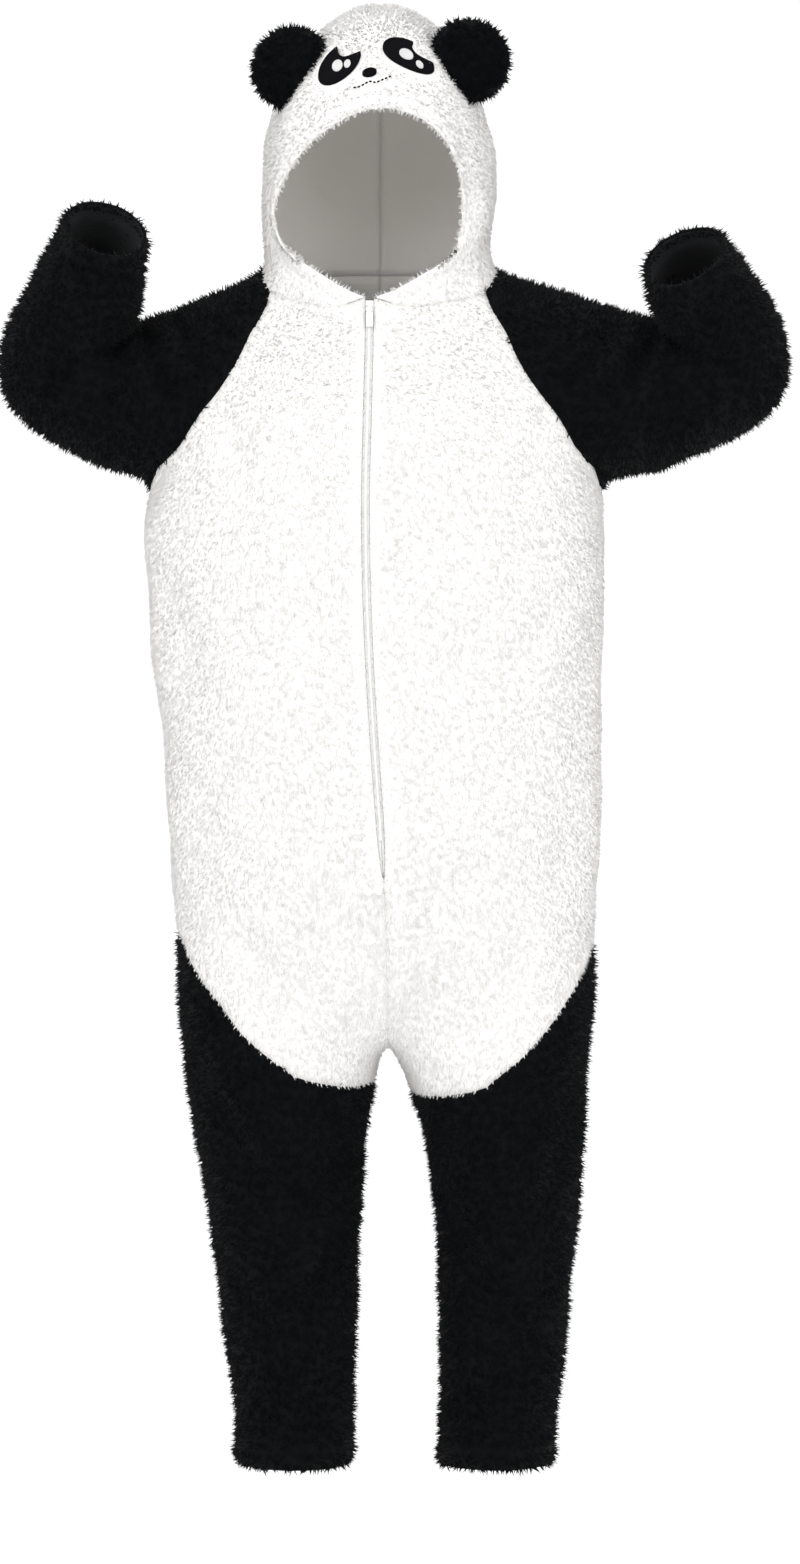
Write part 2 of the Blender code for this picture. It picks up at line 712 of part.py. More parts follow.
def build_slider(line, collection, cutters):
    """Build the zip's slider, and the pull tab that hangs from its pin.

    Local axes: X across, -Y out of the cloth, Z up the zip.
    """
    place, out = line.at(SLIDER_DROP)
    out = Vector((0.0, out.y, out.z)).normalized()
    up = Vector((1.0, 0.0, 0.0)).cross(-out).normalized()
    frame = Matrix((Vector((1.0, 0.0, 0.0)), -out, up)).transposed().to_4x4()
    pin = place + out * PIN_OUT

    body_y = -(SLIDER_BACK + SLIDER_SIZE.y / 2) + PIN_OUT
    slider = new_object("zip_slider", box_mesh(SLIDER_SIZE, Vector((0, body_y, 0)), 0.6 * MM),
                        collection, ZIP_METAL)
    posts = [box_mesh(POST_SIZE, Vector((sign * POST_X, POST_SIZE.y / 2 - 0.9 * MM, 0)), 0.15 * MM)
             for sign in (-1, 1)]
    combine(slider, posts + [rod_mesh(PIN_RADIUS, 2 * POST_X, Vector((0, 0, 0)))], "UNION", cutters)

    tab = new_object("zip_pull", rod_mesh(EYE_RADIUS, EYE_WIDTH, Vector((0, 0, 0))), collection,
                     ZIP_METAL)
    grip_z = -TAB_NECK.z - TAB_GRIP.z / 2 + 1.0 * MM
    plates = [box_mesh(TAB_NECK, Vector((0, 0, -TAB_NECK.z / 2)), 0.2 * MM),
              box_mesh(TAB_GRIP, Vector((0, 0, grip_z)), 0.5 * MM)]
    combine(tab, plates, "UNION", cutters)
    combine(tab, [rod_mesh(EYE_BORE, 2 * EYE_WIDTH, Vector((0, 0, 0)))], "DIFFERENCE", cutters)

    for item in (slider, tab):
        item.data.materials.clear()
        item.data.materials.append(finish_material(ZIP_METAL))
        item.matrix_world = Matrix.Translation(pin) @ frame


def build_zip(mesh, beside, outward, collection, cutters):
    """Build tapes, chain, slider and pull tab along the fronts' edges."""
    line = ZipLine(mesh, beside, outward)
    tape_start = 1.0 * MM
    tape = (TAPE_SPLIT, TAPE_SPLIT + TAPE_WIDTH)
    build_strip("zip_tape_left", line, tape_start, tape, TAPE_DEPTH, collection, ZIP_TAPE)
    build_strip("zip_tape_right", line, tape_start, (-tape[1], -tape[0]), TAPE_DEPTH,
                collection, ZIP_TAPE)
    chain_start = SLIDER_DROP + SLIDER_SIZE.z / 2 + 0.4 * MM
    build_strip("zip_chain", line, chain_start, (-CHAIN_HALF_WIDTH, CHAIN_HALF_WIDTH),
                CHAIN_DEPTH, collection, ZIP_NYLON, short_of_end=1)
    build_slider(line, collection, cutters)


# ---------------------------------------------------------------- face and ears

def outer_tree(mesh, outer_count):
    """A search tree of the garment's outer surface."""
    faces = [tuple(face.vertices) for face in mesh.polygons if face.vertices[0] < outer_count]
    points = [vertex.co for vertex in mesh.vertices[:outer_count]]
    return BVHTree.FromPolygons(points, faces)


class FacePlane:
    """The plane that the face is set out on, and its drop onto the hood."""

    def __init__(self, tree):
        self.tree = tree
        turn = Matrix.Rotation(-FACE_RISE, 3, "X") @ Matrix.Rotation(-FACE_TILT, 3, "Y")
        self.across = turn @ Vector((1, 0, 0))
        self.up = turn @ Vector((0, 0, 1))
        self.out = turn @ Vector((0, -1, 0))

    def on_hood(self, u, v, height):
        """The place over the hood's surface for a place on the plane, in millimetres."""
        start = FACE_MIDDLE + (self.across * u + self.up * v) * MM + self.out * 0.2
        place, normal, _, _ = self.tree.ray_cast(start, -self.out)
        return place + self.out * height


def oval_outline(oval, count, bite=None):
    """Polar outline of an oval, with a round bite out of it where one is given."""
    outline = []
    for number in range(count):
        angle = 2 * math.pi * number / count
        local = angle - oval.turn
        radius = 1 / math.hypot(math.cos(local) / oval.across, math.sin(local) / oval.up)
        if bite is not None:
            to_bite = Vector((bite.u - oval.u, bite.v - oval.v))
            along = to_bite.x * math.cos(angle) + to_bite.y * math.sin(angle)
            beside = bite.radius ** 2 - (to_bite.length_squared - along ** 2)
            if along > 0 and beside > 0:
                radius = min(radius, along - math.sqrt(beside))
        outline.append((math.cos(angle) * radius, math.sin(angle) * radius))
    return outline


def build_patch(name, plane, oval, count, depth, collection, finish, bite=None):
    """A felt piece that follows the hood, between two heights over it."""
    work = bmesh.new()
    outline = oval_outline(oval, count, bite)
    skins = []
    for height in depth:
        middle = work.verts.new(plane.on_hood(oval.u, oval.v, height))
        rings = [[work.verts.new(plane.on_hood(oval.u + u * part, oval.v + v * part, height))
                  for u, v in outline] for part in (0.5, 1.0)]
        for number in range(count):
            after = (number + 1) % count
            work.faces.new((middle, rings[0][number], rings[0][after]))
            work.faces.new((rings[0][number], rings[1][number], rings[1][after], rings[0][after]))
        skins.append(rings[1])
    for number in range(count):
        after = (number + 1) % count
        work.faces.new((skins[0][number], skins[0][after], skins[1][after], skins[1][number]))
    new_object(name, mesh_from(work, name), collection, finish)


def build_face(tree, collection):
    """Lay the eyes, their highlights and the nose on the hood."""
    plane = FacePlane(tree)
    for side, (oval, bite) in EYES.items():
        build_patch("eye_" + side, plane, oval, PATCH_POINTS, FELT_DEPTH, collection, BLACK_FELT,
                    bite)
    for name, oval in GLINTS.items():
        build_patch(name, plane, oval, GLINT_POINTS, GLINT_DEPTH, collection, WHITE_FELT)
    build_patch("nose", plane, NOSE, GLINT_POINTS, FELT_DEPTH, collection, BLACK_FELT)


def build_ear(side, tree, collection):
    """A stuffed disc, its base pressed to the hood's surface."""
    row = EARS[side]
    middle = Vector((row.x, row.y, row.z)) * MM
    outward = Vector((math.cos(math.radians(row.outward)), 0, math.sin(math.radians(row.outward))))
    work = bmesh.new()
    bmesh.ops.create_uvsphere(work, u_segments=20, v_segments=12, radius=1.0,
                              matrix=Matrix.Rotation(math.pi / 2, 4, "X"))
    bmesh.ops.scale(work, vec=(EAR_RADIUS, EAR_DEPTH, EAR_RADIUS), verts=work.verts)
    turn = Matrix.Rotation(SIDES[side] * EAR_TURN, 3, "Z")
    bmesh.ops.rotate(work, cent=(0, 0, 0), matrix=turn, verts=work.verts)
    bmesh.ops.translate(work, vec=middle, verts=work.verts)
    reach = 0.25
    for point in work.verts:
        start = point.co + outward * reach
        place, normal, _, _ = tree.ray_cast(start, -outward)
        if place is None:
            continue
        floor = place + outward * EAR_CLEARANCE
        if (point.co - floor).dot(outward) < 0:
            point.co = floor
    bmesh.ops.remove_doubles(work, verts=work.verts, dist=0.1 * MM)
    new_object("ear_" + side, mesh_from(work, "ear_" + side), collection, BLACK_PLUSH)


# ---------------------------------------------------------------- build

def main():
    """Build the onesie."""
    clear_scene()
    collection = new_collection("panda_onesie")
    cutters = new_collection("cutters")
    mesh, outer_count = walled_garment(cutters)
    beside, outward = build_panels(mesh, outer_count, collection)
    build_zip(mesh, beside, outward, collection, cutters)
    tree = outer_tree(mesh, outer_count)
    build_face(tree, collection)
    for side in SIDES:
        build_ear(side, tree, collection)
    bpy.data.meshes.remove(mesh)


main()
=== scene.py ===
"""Visual model of a hooded panda onesie in white and black plush.

The frame's panels are sewn into one smooth cloth, draped with the creases of a
worn garment, and cut back into walled panels. Each panel then gets its pile as
one mesh of small tufts. The felt face, the stuffed ears and the zip follow.
"""

import logging
import math
from dataclasses import dataclass, field
from enum import Enum

import bmesh
import bpy
import numpy as np
from bmesh.types import BMEdge, BMesh, BMFace, BMVert
from bpy.types import Material, Mesh, Node, NodeSocket, NodeTree, Object, ShaderNodeTree
from mathutils import Euler, Matrix, Vector
from mathutils.bvhtree import BVHTree
from mathutils.kdtree import KDTree


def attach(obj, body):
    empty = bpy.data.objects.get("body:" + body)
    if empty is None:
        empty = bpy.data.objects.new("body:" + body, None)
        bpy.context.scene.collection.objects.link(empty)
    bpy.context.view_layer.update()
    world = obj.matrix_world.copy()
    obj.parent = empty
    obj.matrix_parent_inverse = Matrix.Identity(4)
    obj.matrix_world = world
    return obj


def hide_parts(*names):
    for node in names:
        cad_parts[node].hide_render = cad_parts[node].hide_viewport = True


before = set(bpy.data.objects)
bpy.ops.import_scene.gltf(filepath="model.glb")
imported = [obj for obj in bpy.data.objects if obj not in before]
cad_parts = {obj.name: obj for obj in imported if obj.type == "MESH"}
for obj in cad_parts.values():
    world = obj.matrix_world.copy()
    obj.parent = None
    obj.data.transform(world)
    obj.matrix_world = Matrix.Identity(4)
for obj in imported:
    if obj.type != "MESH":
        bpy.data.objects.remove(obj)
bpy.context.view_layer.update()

MM = 0.001
SAME_POINT = 0.01 * MM
GARMENT = "garment"
PULL_TAB = "pull_tab"
LOG = logging.getLogger("panda_onesie")


# ---------------------------------------------------------------- small tools


def smooth_step(value: np.ndarray, low: float, high: float) -> np.ndarray:
    """A soft ramp from 0 at low to 1 at high.

    Args:
        value: The numbers to ramp.
        low: Where the ramp starts.
        high: Where the ramp ends.

    Returns:
        The ramped numbers.
    """
    part = np.clip((value - low) / (high - low), 0.0, 1.0)
    return part * part * (3 - 2 * part)


def bell(value: np.ndarray, width: float) -> np.ndarray:
    """A bell curve of height 1 about zero."""
    return np.exp(-((value / width) ** 2))


def unit(rows: np.ndarray) -> np.ndarray:
    """Each row scaled to length 1."""
    return rows / np.maximum(np.linalg.norm(rows, axis=1, keepdims=True), 1e-9)


def distance_to(points: np.ndarray, targets: np.ndarray) -> np.ndarray:
    """How far each point is from the nearest target.

    Args:
        points: Rows of places.
        targets: Rows of places to measure to.

    Returns:
        One distance in metres for each point.
    """
    tree = KDTree(len(targets))
    for number, target in enumerate(targets):
        tree.insert(target, number)
    tree.balance()
    return np.array([tree.find(point)[2] for point in points])


def blended(weights: np.ndarray, corners: np.ndarray) -> np.ndarray:
    """The value at each place on a triangle, from its corners' values and weights."""
    return np.einsum("nk,nk...->n...", weights, corners)


def running_length(line: np.ndarray) -> np.ndarray:
    """How far along a line each of its points lies, from 0 at the first."""
    return np.concatenate(([0], np.cumsum(np.linalg.norm(np.diff(line, axis=0), axis=1))))


def points_in(items: list) -> list[BMVert]:
    """The points among what a bmesh operator made."""
    return [item for item in items if isinstance(item, BMVert)]


def edges_in(items: list) -> list[BMEdge]:
    """The edges among what a bmesh operator made."""
    return [item for item in items if isinstance(item, BMEdge)]


@dataclass(frozen=True)
class Ripple:
    """A soft, repeatable wobble in space, as the sum of a few waves."""

    wavelength: float
    seed: int
    waves: int = 9

    def at(self, points: np.ndarray) -> np.ndarray:
        """Three wobble values, each about -1 to 1, for each point."""
        dice = np.random.default_rng(self.seed)
        total = np.zeros((len(points), 3))
        for _ in range(self.waves):
            heading = dice.normal(size=3)
            heading /= np.linalg.norm(heading)
            rate = 2 * math.pi / (self.wavelength * dice.uniform(0.75, 1.35))
            angle = points @ heading * rate
            for axis in range(3):
                total[:, axis] += np.sin(angle + dice.uniform(0, 2 * math.pi))
        return total / math.sqrt(self.waves)


def finished_object(
    work: BMesh, name: str, materials: list[Material], smooth: bool = True
) -> Object:
    """Turns a bmesh into an object at the origin, in its finishes.

    Args:
        work: The shape, which is freed.
        name: The object's name.
        materials: Its finishes, in slot order.
        smooth: Whether its faces are shaded smooth.

    Returns:
        The new object.
    """
    mesh = bpy.data.meshes.new(name)
    work.to_mesh(mesh)
    work.free()
    for material in materials:
        mesh.materials.append(material)
    mesh.polygons.foreach_set("use_smooth", [smooth] * len(mesh.polygons))
    item = bpy.data.objects.new(name, mesh)
    bpy.context.scene.collection.objects.link(item)
    return item


def applied(item: Object) -> Object:
    """Bakes an object's modifiers into its mesh."""
    bpy.context.view_layer.update()
    deps = bpy.context.evaluated_depsgraph_get()
    mesh = bpy.data.meshes.new_from_object(item.evaluated_get(deps))
    item.modifiers.clear()
    item.data = mesh
    return item


# ------------------------------------------------------------------- finishes


class NodeDesk:
    """A short way to lay out shader nodes in a material or a group."""

    def __init__(self, tree: NodeTree) -> None:
        """Starts on an empty node tree."""
        self.tree = tree
        tree.nodes.clear()

    def add(self, kind: str, settings: dict | None = None, **inputs: object) -> Node:
        """Adds a node.

        Args:
            kind: The node's type name.
            settings: Values for the node's own properties.
            **inputs: Values or sockets for its inputs, by name with _ for a space.

        Returns:
            The node.
        """
        node = self.tree.nodes.new(kind)
        for key, value in (settings or {}).items():
            setattr(node, key, value)
        for key, value in inputs.items():
            self.put(node, key.replace("_", " "), value)
        return node

    def put(self, node: Node, key: str | int, value: object) -> None:
        """Sets one input of a node to a value or links it to a socket."""
        socket = node.inputs[key]
        if isinstance(value, NodeSocket):
            self.tree.links.new(value, socket)
        else:
            socket.default_value = value

    def mix(self, factor: object, first: object, second: object) -> NodeSocket:
        """A colour between two others.

        Args:
            factor: 0 for the first, 1 for the second.
            first: A colour or a colour socket.
            second: A colour or a colour socket.

        Returns:
            The mixed colour's socket.
        """
        node = self.tree.nodes.new("ShaderNodeMix")
        node.data_type = "RGBA"
        self.put(node, 0, factor)
        self.put(node, 6, first)
        self.put(node, 7, second)
        return node.outputs[2]

    def sum(self, how: str, first: object, second: object) -> NodeSocket:
        """A Math node of two values."""
        node = self.tree.nodes.new("ShaderNodeMath")
        node.operation = how
        self.put(node, 0, first)
        self.put(node, 1, second)
        return node.outputs[0]

    def map(self, value: object, low: float, high: float, to_low: float, to_high: float) -> NodeSocket:
        """A Map Range node."""
        node = self.tree.nodes.new("ShaderNodeMapRange")
        for number, item in enumerate((value, low, high, to_low, to_high)):
            self.put(node, number, item)
        return node.outputs[0]


def mottle_group() -> ShaderNodeTree:
    """The shared shader group for blotchy, fibrous colour.

    Returns:
        A group that varies a colour with coarse blotches and fine fibres.
    """
    name = "FibreMottle"
    if name in bpy.data.node_groups:
        return bpy.data.node_groups[name]
    group = bpy.data.node_groups.new(name, "ShaderNodeTree")
    desk = NodeDesk(group)
    for side, label, kind in (
        ("INPUT", "Light", "Color"), ("INPUT", "Dark", "Color"), ("INPUT", "Blotch Scale", "Float"),
        ("INPUT", "Fibre Scale", "Float"), ("OUTPUT", "Color", "Color"), ("OUTPUT", "Height", "Float"),
    ):
        group.interface.new_socket(name=label, in_out=side, socket_type="NodeSocket" + kind)
    inputs = desk.add("NodeGroupInput").outputs
    place = desk.add("ShaderNodeTexCoord").outputs["Object"]
    blotch = desk.add("ShaderNodeTexNoise", Vector=place, Scale=inputs["Blotch Scale"], Detail=3.0)
    fibre = desk.add("ShaderNodeTexNoise", Vector=place, Scale=inputs["Fibre Scale"], Detail=4.0, Roughness=0.65)
    both = desk.sum("ADD", *(desk.map(noise.outputs[0], 0.3, 0.7, 0, 0.5) for noise in (blotch, fibre)))
    out = desk.add("NodeGroupOutput")
    desk.put(out, "Color", desk.mix(both, inputs["Dark"], inputs["Light"]))
    desk.put(out, "Height", fibre.outputs[0])
    return group


@dataclass(frozen=True)
class Finish:
    """A finish with one Principled shader, to be given its pattern."""

    name: str
    roughness: float
    sheen: float = 0.0
    specular: float = 0.3

    def start(self) -> tuple[Material, NodeDesk, Node]:
        """Makes the material, its desk and its shader."""
        material = bpy.data.materials.new(self.name)
        material.use_nodes = True
        desk = NodeDesk(material.node_tree)
        shader = desk.add("ShaderNodeBsdfPrincipled")
        shader.inputs["Roughness"].default_value = self.roughness
        shader.inputs["Specular IOR Level"].default_value = self.specular
        shader.inputs["Sheen Weight"].default_value = self.sheen
        shader.inputs["Sheen Roughness"].default_value = 0.5
        out = desk.add("ShaderNodeOutputMaterial")
        desk.put(out, "Surface", shader.outputs[0])
        return material, desk, shader

    def mottled(
        self, desk: NodeDesk, light: tuple, dark: tuple, blotch: float, fibre: float
    ) -> Node:
        """Places the shared mottle group.

        Args:
            desk: The material's desk.
            light: The lighter colour.
            dark: The darker colour.
            blotch: Scale of the blotches.
            fibre: Scale of the fibres.

        Returns:
            The group node.
        """
        node = desk.add("ShaderNodeGroup", {"node_tree": mottle_group()})
        for number, value in enumerate((light, dark, blotch, fibre)):
            desk.put(node, number, value)
        return node


@dataclass(frozen=True)
class PileFinish(Finish):
    """Plush pile, darker at the root than at the tip of each tuft: painted shade deep in the pile."""

    root: tuple = (1, 1, 1, 1)
    root_blotch: tuple = (1, 1, 1, 1)
    tip: tuple = (1, 1, 1, 1)
    tip_blotch: tuple = (1, 1, 1, 1)

    def build(self) -> Material:
        """The tufts' material, which follows their rise and shade attributes."""
        material, desk, shader = self.start()
        root = self.mottled(desk, self.root, self.root_blotch, 9.0, 420.0)
        tip = self.mottled(desk, self.tip, self.tip_blotch, 7.0, 260.0)
        rise = desk.add("ShaderNodeAttribute", {"attribute_name": "rise"}).outputs["Fac"]
        shade = desk.add("ShaderNodeAttribute", {"attribute_name": "shade"}).outputs["Fac"]
        # painted shade: the colour runs from the darker root colour low in each tuft to the tip colour, shifted at
        # random for each tuft
        root_shade_to_tip = desk.sum("ADD", desk.map(rise, 0.0, 0.8, 0.0, 0.9), desk.map(shade, 0.0, 1.0, -0.25, 0.25))
        root_shade_to_tip = desk.map(root_shade_to_tip, 0.0, 1.0, 0.0, 1.0)
        desk.put(shader, "Base Color", desk.mix(root_shade_to_tip, root.outputs["Color"], tip.outputs["Color"]))
        return material

    def ground(self) -> Material:
        """The material of the cloth that the pile stands on, in the pile's darker root colours: painted shade between
        the tufts.
        """
        material, desk, shader = Finish(self.name + "_ground", 0.95, self.sheen, 0.2).start()
        tone = self.mottled(desk, self.root, self.root_blotch, 9.0, 700.0)
        desk.put(shader, "Base Color", tone.outputs["Color"])
        bump = desk.add("ShaderNodeBump", Strength=0.6, Distance=0.0012, Height=tone.outputs["Height"])
        desk.put(shader, "Normal", bump.outputs[0])
        return material


@dataclass(frozen=True)
class KnitFinish(Finish):
    """The smooth knitted backing that the inside of the garment shows."""

    light: tuple = (1, 1, 1, 1)
    dark: tuple = (1, 1, 1, 1)
    loops: float = 330.0

    def build(self) -> Material:
        """A material with fine vertical ribs of loops, with painted shade mixed into the gaps between the loops."""
        material, desk, shader = self.start()
        place = desk.add("ShaderNodeTexCoord").outputs["Object"]
        rib = desk.add(
            "ShaderNodeTexWave", {"bands_direction": "X"}, Vector=place, Scale=self.loops, Distortion=1.2, Detail=1.0
        )
        row = desk.add(
            "ShaderNodeTexWave", {"bands_direction": "Z"}, Vector=place, Scale=self.loops * 0.8, Distortion=0.8, Detail=1.0
        )
        loops = desk.sum("MULTIPLY", rib.outputs[1], row.outputs[1])
        tone = self.mottled(desk, self.light, self.dark, 12.0, 500.0)
        # the gaps between the loops are mixed towards the dark colour: painted shade
        gaps = desk.map(loops, 0.0, 1.0, 0.35, 0.0)
        desk.put(shader, "Base Color", desk.mix(gaps, tone.outputs["Color"], self.dark))
        bump = desk.add("ShaderNodeBump", Strength=0.5, Distance=0.0006, Height=loops)
        desk.put(shader, "Normal", bump.outputs[0])
        return material


@dataclass(frozen=True)
class ThreadFinish(Finish):
    """Felt, tape or thread, with fine parallel strands."""

    light: tuple = (1, 1, 1, 1)
    dark: tuple = (1, 1, 1, 1)
    strands: float = 600.0
    lean: float = 0.5

    def build(self) -> Material:
        """A material with strands that lean across the piece, with painted shade mixed into the gaps between the
        strands.
        """
        material, desk, shader = self.start()
        place = desk.add("ShaderNodeTexCoord").outputs["Object"]
        turned = desk.add("ShaderNodeMapping", Vector=place, Rotation=(0.0, self.lean, 0.0)).outputs[0]
        strand = desk.add(
            "ShaderNodeTexWave", {"bands_direction": "Z"}, Vector=turned, Scale=self.strands, Distortion=2.5, Detail=2.0
        )
        tone = self.mottled(desk, self.light, self.dark, 60.0, 1500.0)
        # the gaps between the strands are mixed towards the dark colour: painted shade
        gaps = desk.map(strand.outputs[1], 0.0, 1.0, 0.3, 0.0)
        desk.put(shader, "Base Color", desk.mix(gaps, tone.outputs["Color"], self.dark))
        bump = desk.add("ShaderNodeBump", Strength=0.5, Distance=0.0004, Height=strand.outputs[1])
        desk.put(shader, "Normal", bump.outputs[0])
        return material


@dataclass(frozen=True)
class MouldedFinish(Finish):
    """Moulded nylon or painted metal, with faint handling marks."""

    light: tuple = (1, 1, 1, 1)
    dark: tuple = (1, 1, 1, 1)
    coat: float = 0.0

    def build(self) -> Material:
        """A material with a fine orange-peel bump and uneven gloss."""
        material, desk, shader = self.start()
        shader.inputs["Coat Weight"].default_value = self.coat
        shader.inputs["Coat Roughness"].default_value = 0.2
        tone = self.mottled(desk, self.light, self.dark, 220.0, 1800.0)
        desk.put(shader, "Base Color", tone.outputs["Color"])
        gloss = desk.map(tone.outputs["Height"], 0.3, 0.7, self.roughness - 0.08, self.roughness + 0.1)
        desk.put(shader, "Roughness", gloss)
        bump = desk.add("ShaderNodeBump", Strength=0.2, Distance=0.0002, Height=tone.outputs["Height"])
        desk.put(shader, "Normal", bump.outputs[0])
        return material


@dataclass(frozen=True)
class PaperFinish(MouldedFinish):
    """Studio paper, which only its front shows."""

    def build(self) -> Material:
        """The moulded finish, made clear from behind."""
        material = super().build()
        tree = material.node_tree
        out = next(node for node in tree.nodes if node.type == "OUTPUT_MATERIAL")
        blend = tree.nodes.new("ShaderNodeMixShader")
        tree.links.new(tree.nodes.new("ShaderNodeNewGeometry").outputs["Backfacing"], blend.inputs[0])
        tree.links.new(out.inputs["Surface"].links[0].from_socket, blend.inputs[1])
        tree.links.new(tree.nodes.new("ShaderNodeBsdfTransparent").outputs[0], blend.inputs[2])
        tree.links.new(blend.outputs[0], out.inputs["Surface"])
        return material


class Wardrobe:
    """All the finishes of the garment, each built once."""

    def __init__(self) -> None:
        """Builds every material."""
        # Each pile's root colours are darker than its tip colours: painted shade low in the pile and on the cloth
        # between the tufts.
        white = PileFinish(
            "white_plush", 0.92, 0.25, 0.15,
            root=(0.935, 0.925, 0.905, 1), root_blotch=(0.92, 0.905, 0.89, 1),
            tip=(0.955, 0.95, 0.935, 1), tip_blotch=(0.945, 0.925, 0.91, 1),
        )
        black = PileFinish(
            "black_plush", 0.75, 0.02, 0.09,
            root=(0.0006, 0.0011, 0.0017, 1), root_blotch=(0.0004, 0.0007, 0.0011, 1),
            tip=(0.0018, 0.0032, 0.0048, 1), tip_blotch=(0.0010, 0.0019, 0.0028, 1),
        )
        self.pile = {Plush.WHITE: white.build(), Plush.BLACK: black.build()}
        self.ground = {Plush.WHITE: white.ground(), Plush.BLACK: black.ground()}
        self.backing = {
            Plush.WHITE: KnitFinish(
                "white_backing", 0.9, 0.1, light=(0.935, 0.915, 0.88, 1), dark=(0.87, 0.85, 0.81, 1)
            ).build(),
            Plush.BLACK: KnitFinish(
                "black_backing", 0.9, 0.05, light=(0.020, 0.021, 0.024, 1), dark=(0.010, 0.011, 0.013, 1)
            ).build(),
        }
        self.black_felt = ThreadFinish(
            "black_felt", 0.85, 0.0, 0.07, light=(0.0050, 0.0050, 0.0068, 1), dark=(0.0020, 0.0020, 0.0030, 1)
        ).build()
        self.white_felt = ThreadFinish(
            "white_felt", 0.75, 0.1, light=(0.82, 0.82, 0.81, 1), dark=(0.60, 0.60, 0.60, 1)
        ).build()
        self.tape = ThreadFinish(
            "zip_tape", 0.85, 0.1, light=(0.92, 0.92, 0.91, 1), dark=(0.82, 0.82, 0.81, 1), strands=900.0, lean=0.78
        ).build()
        self.nylon = MouldedFinish(
            "zip_nylon", 0.35, light=(0.90, 0.90, 0.89, 1), dark=(0.84, 0.84, 0.82, 1)
        ).build()
        self.enamel = MouldedFinish(
            "zip_enamel", 0.3, light=(0.90, 0.90, 0.90, 1), dark=(0.86, 0.86, 0.86, 1), coat=0.4
        ).build()


# ---------------------------------------------------------------------- cloth


class Plush(Enum):
    """The two colours of plush, by their material slots."""

    WHITE = "white_plush"
    BLACK = "black_plush"


class FreeEdge(Enum):
    """The edges that no seam joins."""

    HOOD = "hood opening"
    ZIP = "zip opening"
    CUFF = "sleeve cuff"
    HEM = "leg hem"


@dataclass(frozen=True)
class EdgeTurn:
    """How a free edge is turned in and how the pile lies round it, in metres."""

    groove: float
    puff: float
    inside: float
    tuft: float


# The free edge of each kind of panel, by the first word of its name; a back has none.
FREE_EDGES = {"front": FreeEdge.ZIP, "hood": FreeEdge.HOOD, "sleeve": FreeEdge.CUFF, "leg": FreeEdge.HEM}

TURNS = {
    FreeEdge.HOOD: EdgeTurn(12 * MM, 1.2 * MM, 15 * MM, 4.4 * MM),
    FreeEdge.ZIP: EdgeTurn(9 * MM, 0.3 * MM, 0.0, 2.2 * MM),
    FreeEdge.CUFF: EdgeTurn(16 * MM, 1.5 * MM, 13 * MM, 5.0 * MM),
    FreeEdge.HEM: EdgeTurn(18 * MM, 2.0 * MM, 13 * MM, 5.0 * MM),
}


@dataclass(frozen=True)
class Cut:
    """One cut piece of cloth: its plush, its flat size and its cut area in metres."""

    plush: Plush
    flat: tuple[float, float]
    area: float


PANELS = {
    "front_left": Cut(Plush.WHITE, (0.30, 0.79), 0.170),
    "front_right": Cut(Plush.WHITE, (0.30, 0.78), 0.160),
    "back_left": Cut(Plush.WHITE, (0.30, 0.81), 0.169),
    "back_right": Cut(Plush.WHITE, (0.30, 0.80), 0.165),
    "hood_face": Cut(Plush.WHITE, (0.32, 0.33), 0.045),
    "hood_side_left": Cut(Plush.WHITE, (0.23, 0.33), 0.057),
    "hood_side_right": Cut(Plush.WHITE, (0.23, 0.33), 0.057),
    "sleeve_left": Cut(Plush.BLACK, (0.44, 0.46), 0.125),
    "sleeve_right": Cut(Plush.BLACK, (0.43, 0.45), 0.120),
    "leg_front_left": Cut(Plush.BLACK, (0.27, 0.50), 0.087),
    "leg_front_right": Cut(Plush.BLACK, (0.28, 0.51), 0.091),
    "leg_back_left": Cut(Plush.BLACK, (0.27, 0.50), 0.087),
    "leg_back_right": Cut(Plush.BLACK, (0.28, 0.51), 0.091),
}


@dataclass(frozen=True)
class Crease:
    """A soft trough across the front or back, in millimetres, or a ridge where depth is negative."""

    start: tuple[float, float]
    end: tuple[float, float]
    depth: float
    width: float
    at_back: bool = False

    def push(self, points: np.ndarray, normals: np.ndarray) -> np.ndarray:
        """How far the crease moves each point along its normal.

        Args:
            points: Places on the cloth, in metres.
            normals: The cloth's outward directions there.

        Returns:
            One distance in metres for each point.
        """
        flat = points[:, (0, 2)] / MM
        start, end = np.array(self.start, dtype=float), np.array(self.end, dtype=float)
        along = end - start
        length = np.linalg.norm(along)
        along /= length
        side = np.array((-along[1], along[0]))
        part = (flat - start) @ along / length
        bow = 0.06 * length * np.sin(math.pi * np.clip(part, 0, 1)) * (1 if self.depth > 0 else -1)
        off = (flat - start) @ side - bow
        fade = smooth_step(part, -0.12, 0.28) * (1 - smooth_step(part, 0.62, 1.12))
        width = self.width * (0.8 + 0.45 * np.clip(part, 0, 1))
        shoulders = bell(off - 1.9 * width, 0.9 * width) + bell(off + 1.9 * width, 0.9 * width)
        shape = -bell(off, width) + 0.42 * shoulders
        faces = normals[:, 1] if self.at_back else -normals[:, 1]
        return self.depth * MM * shape * fade * smooth_step(faces, 0.0, 0.45)


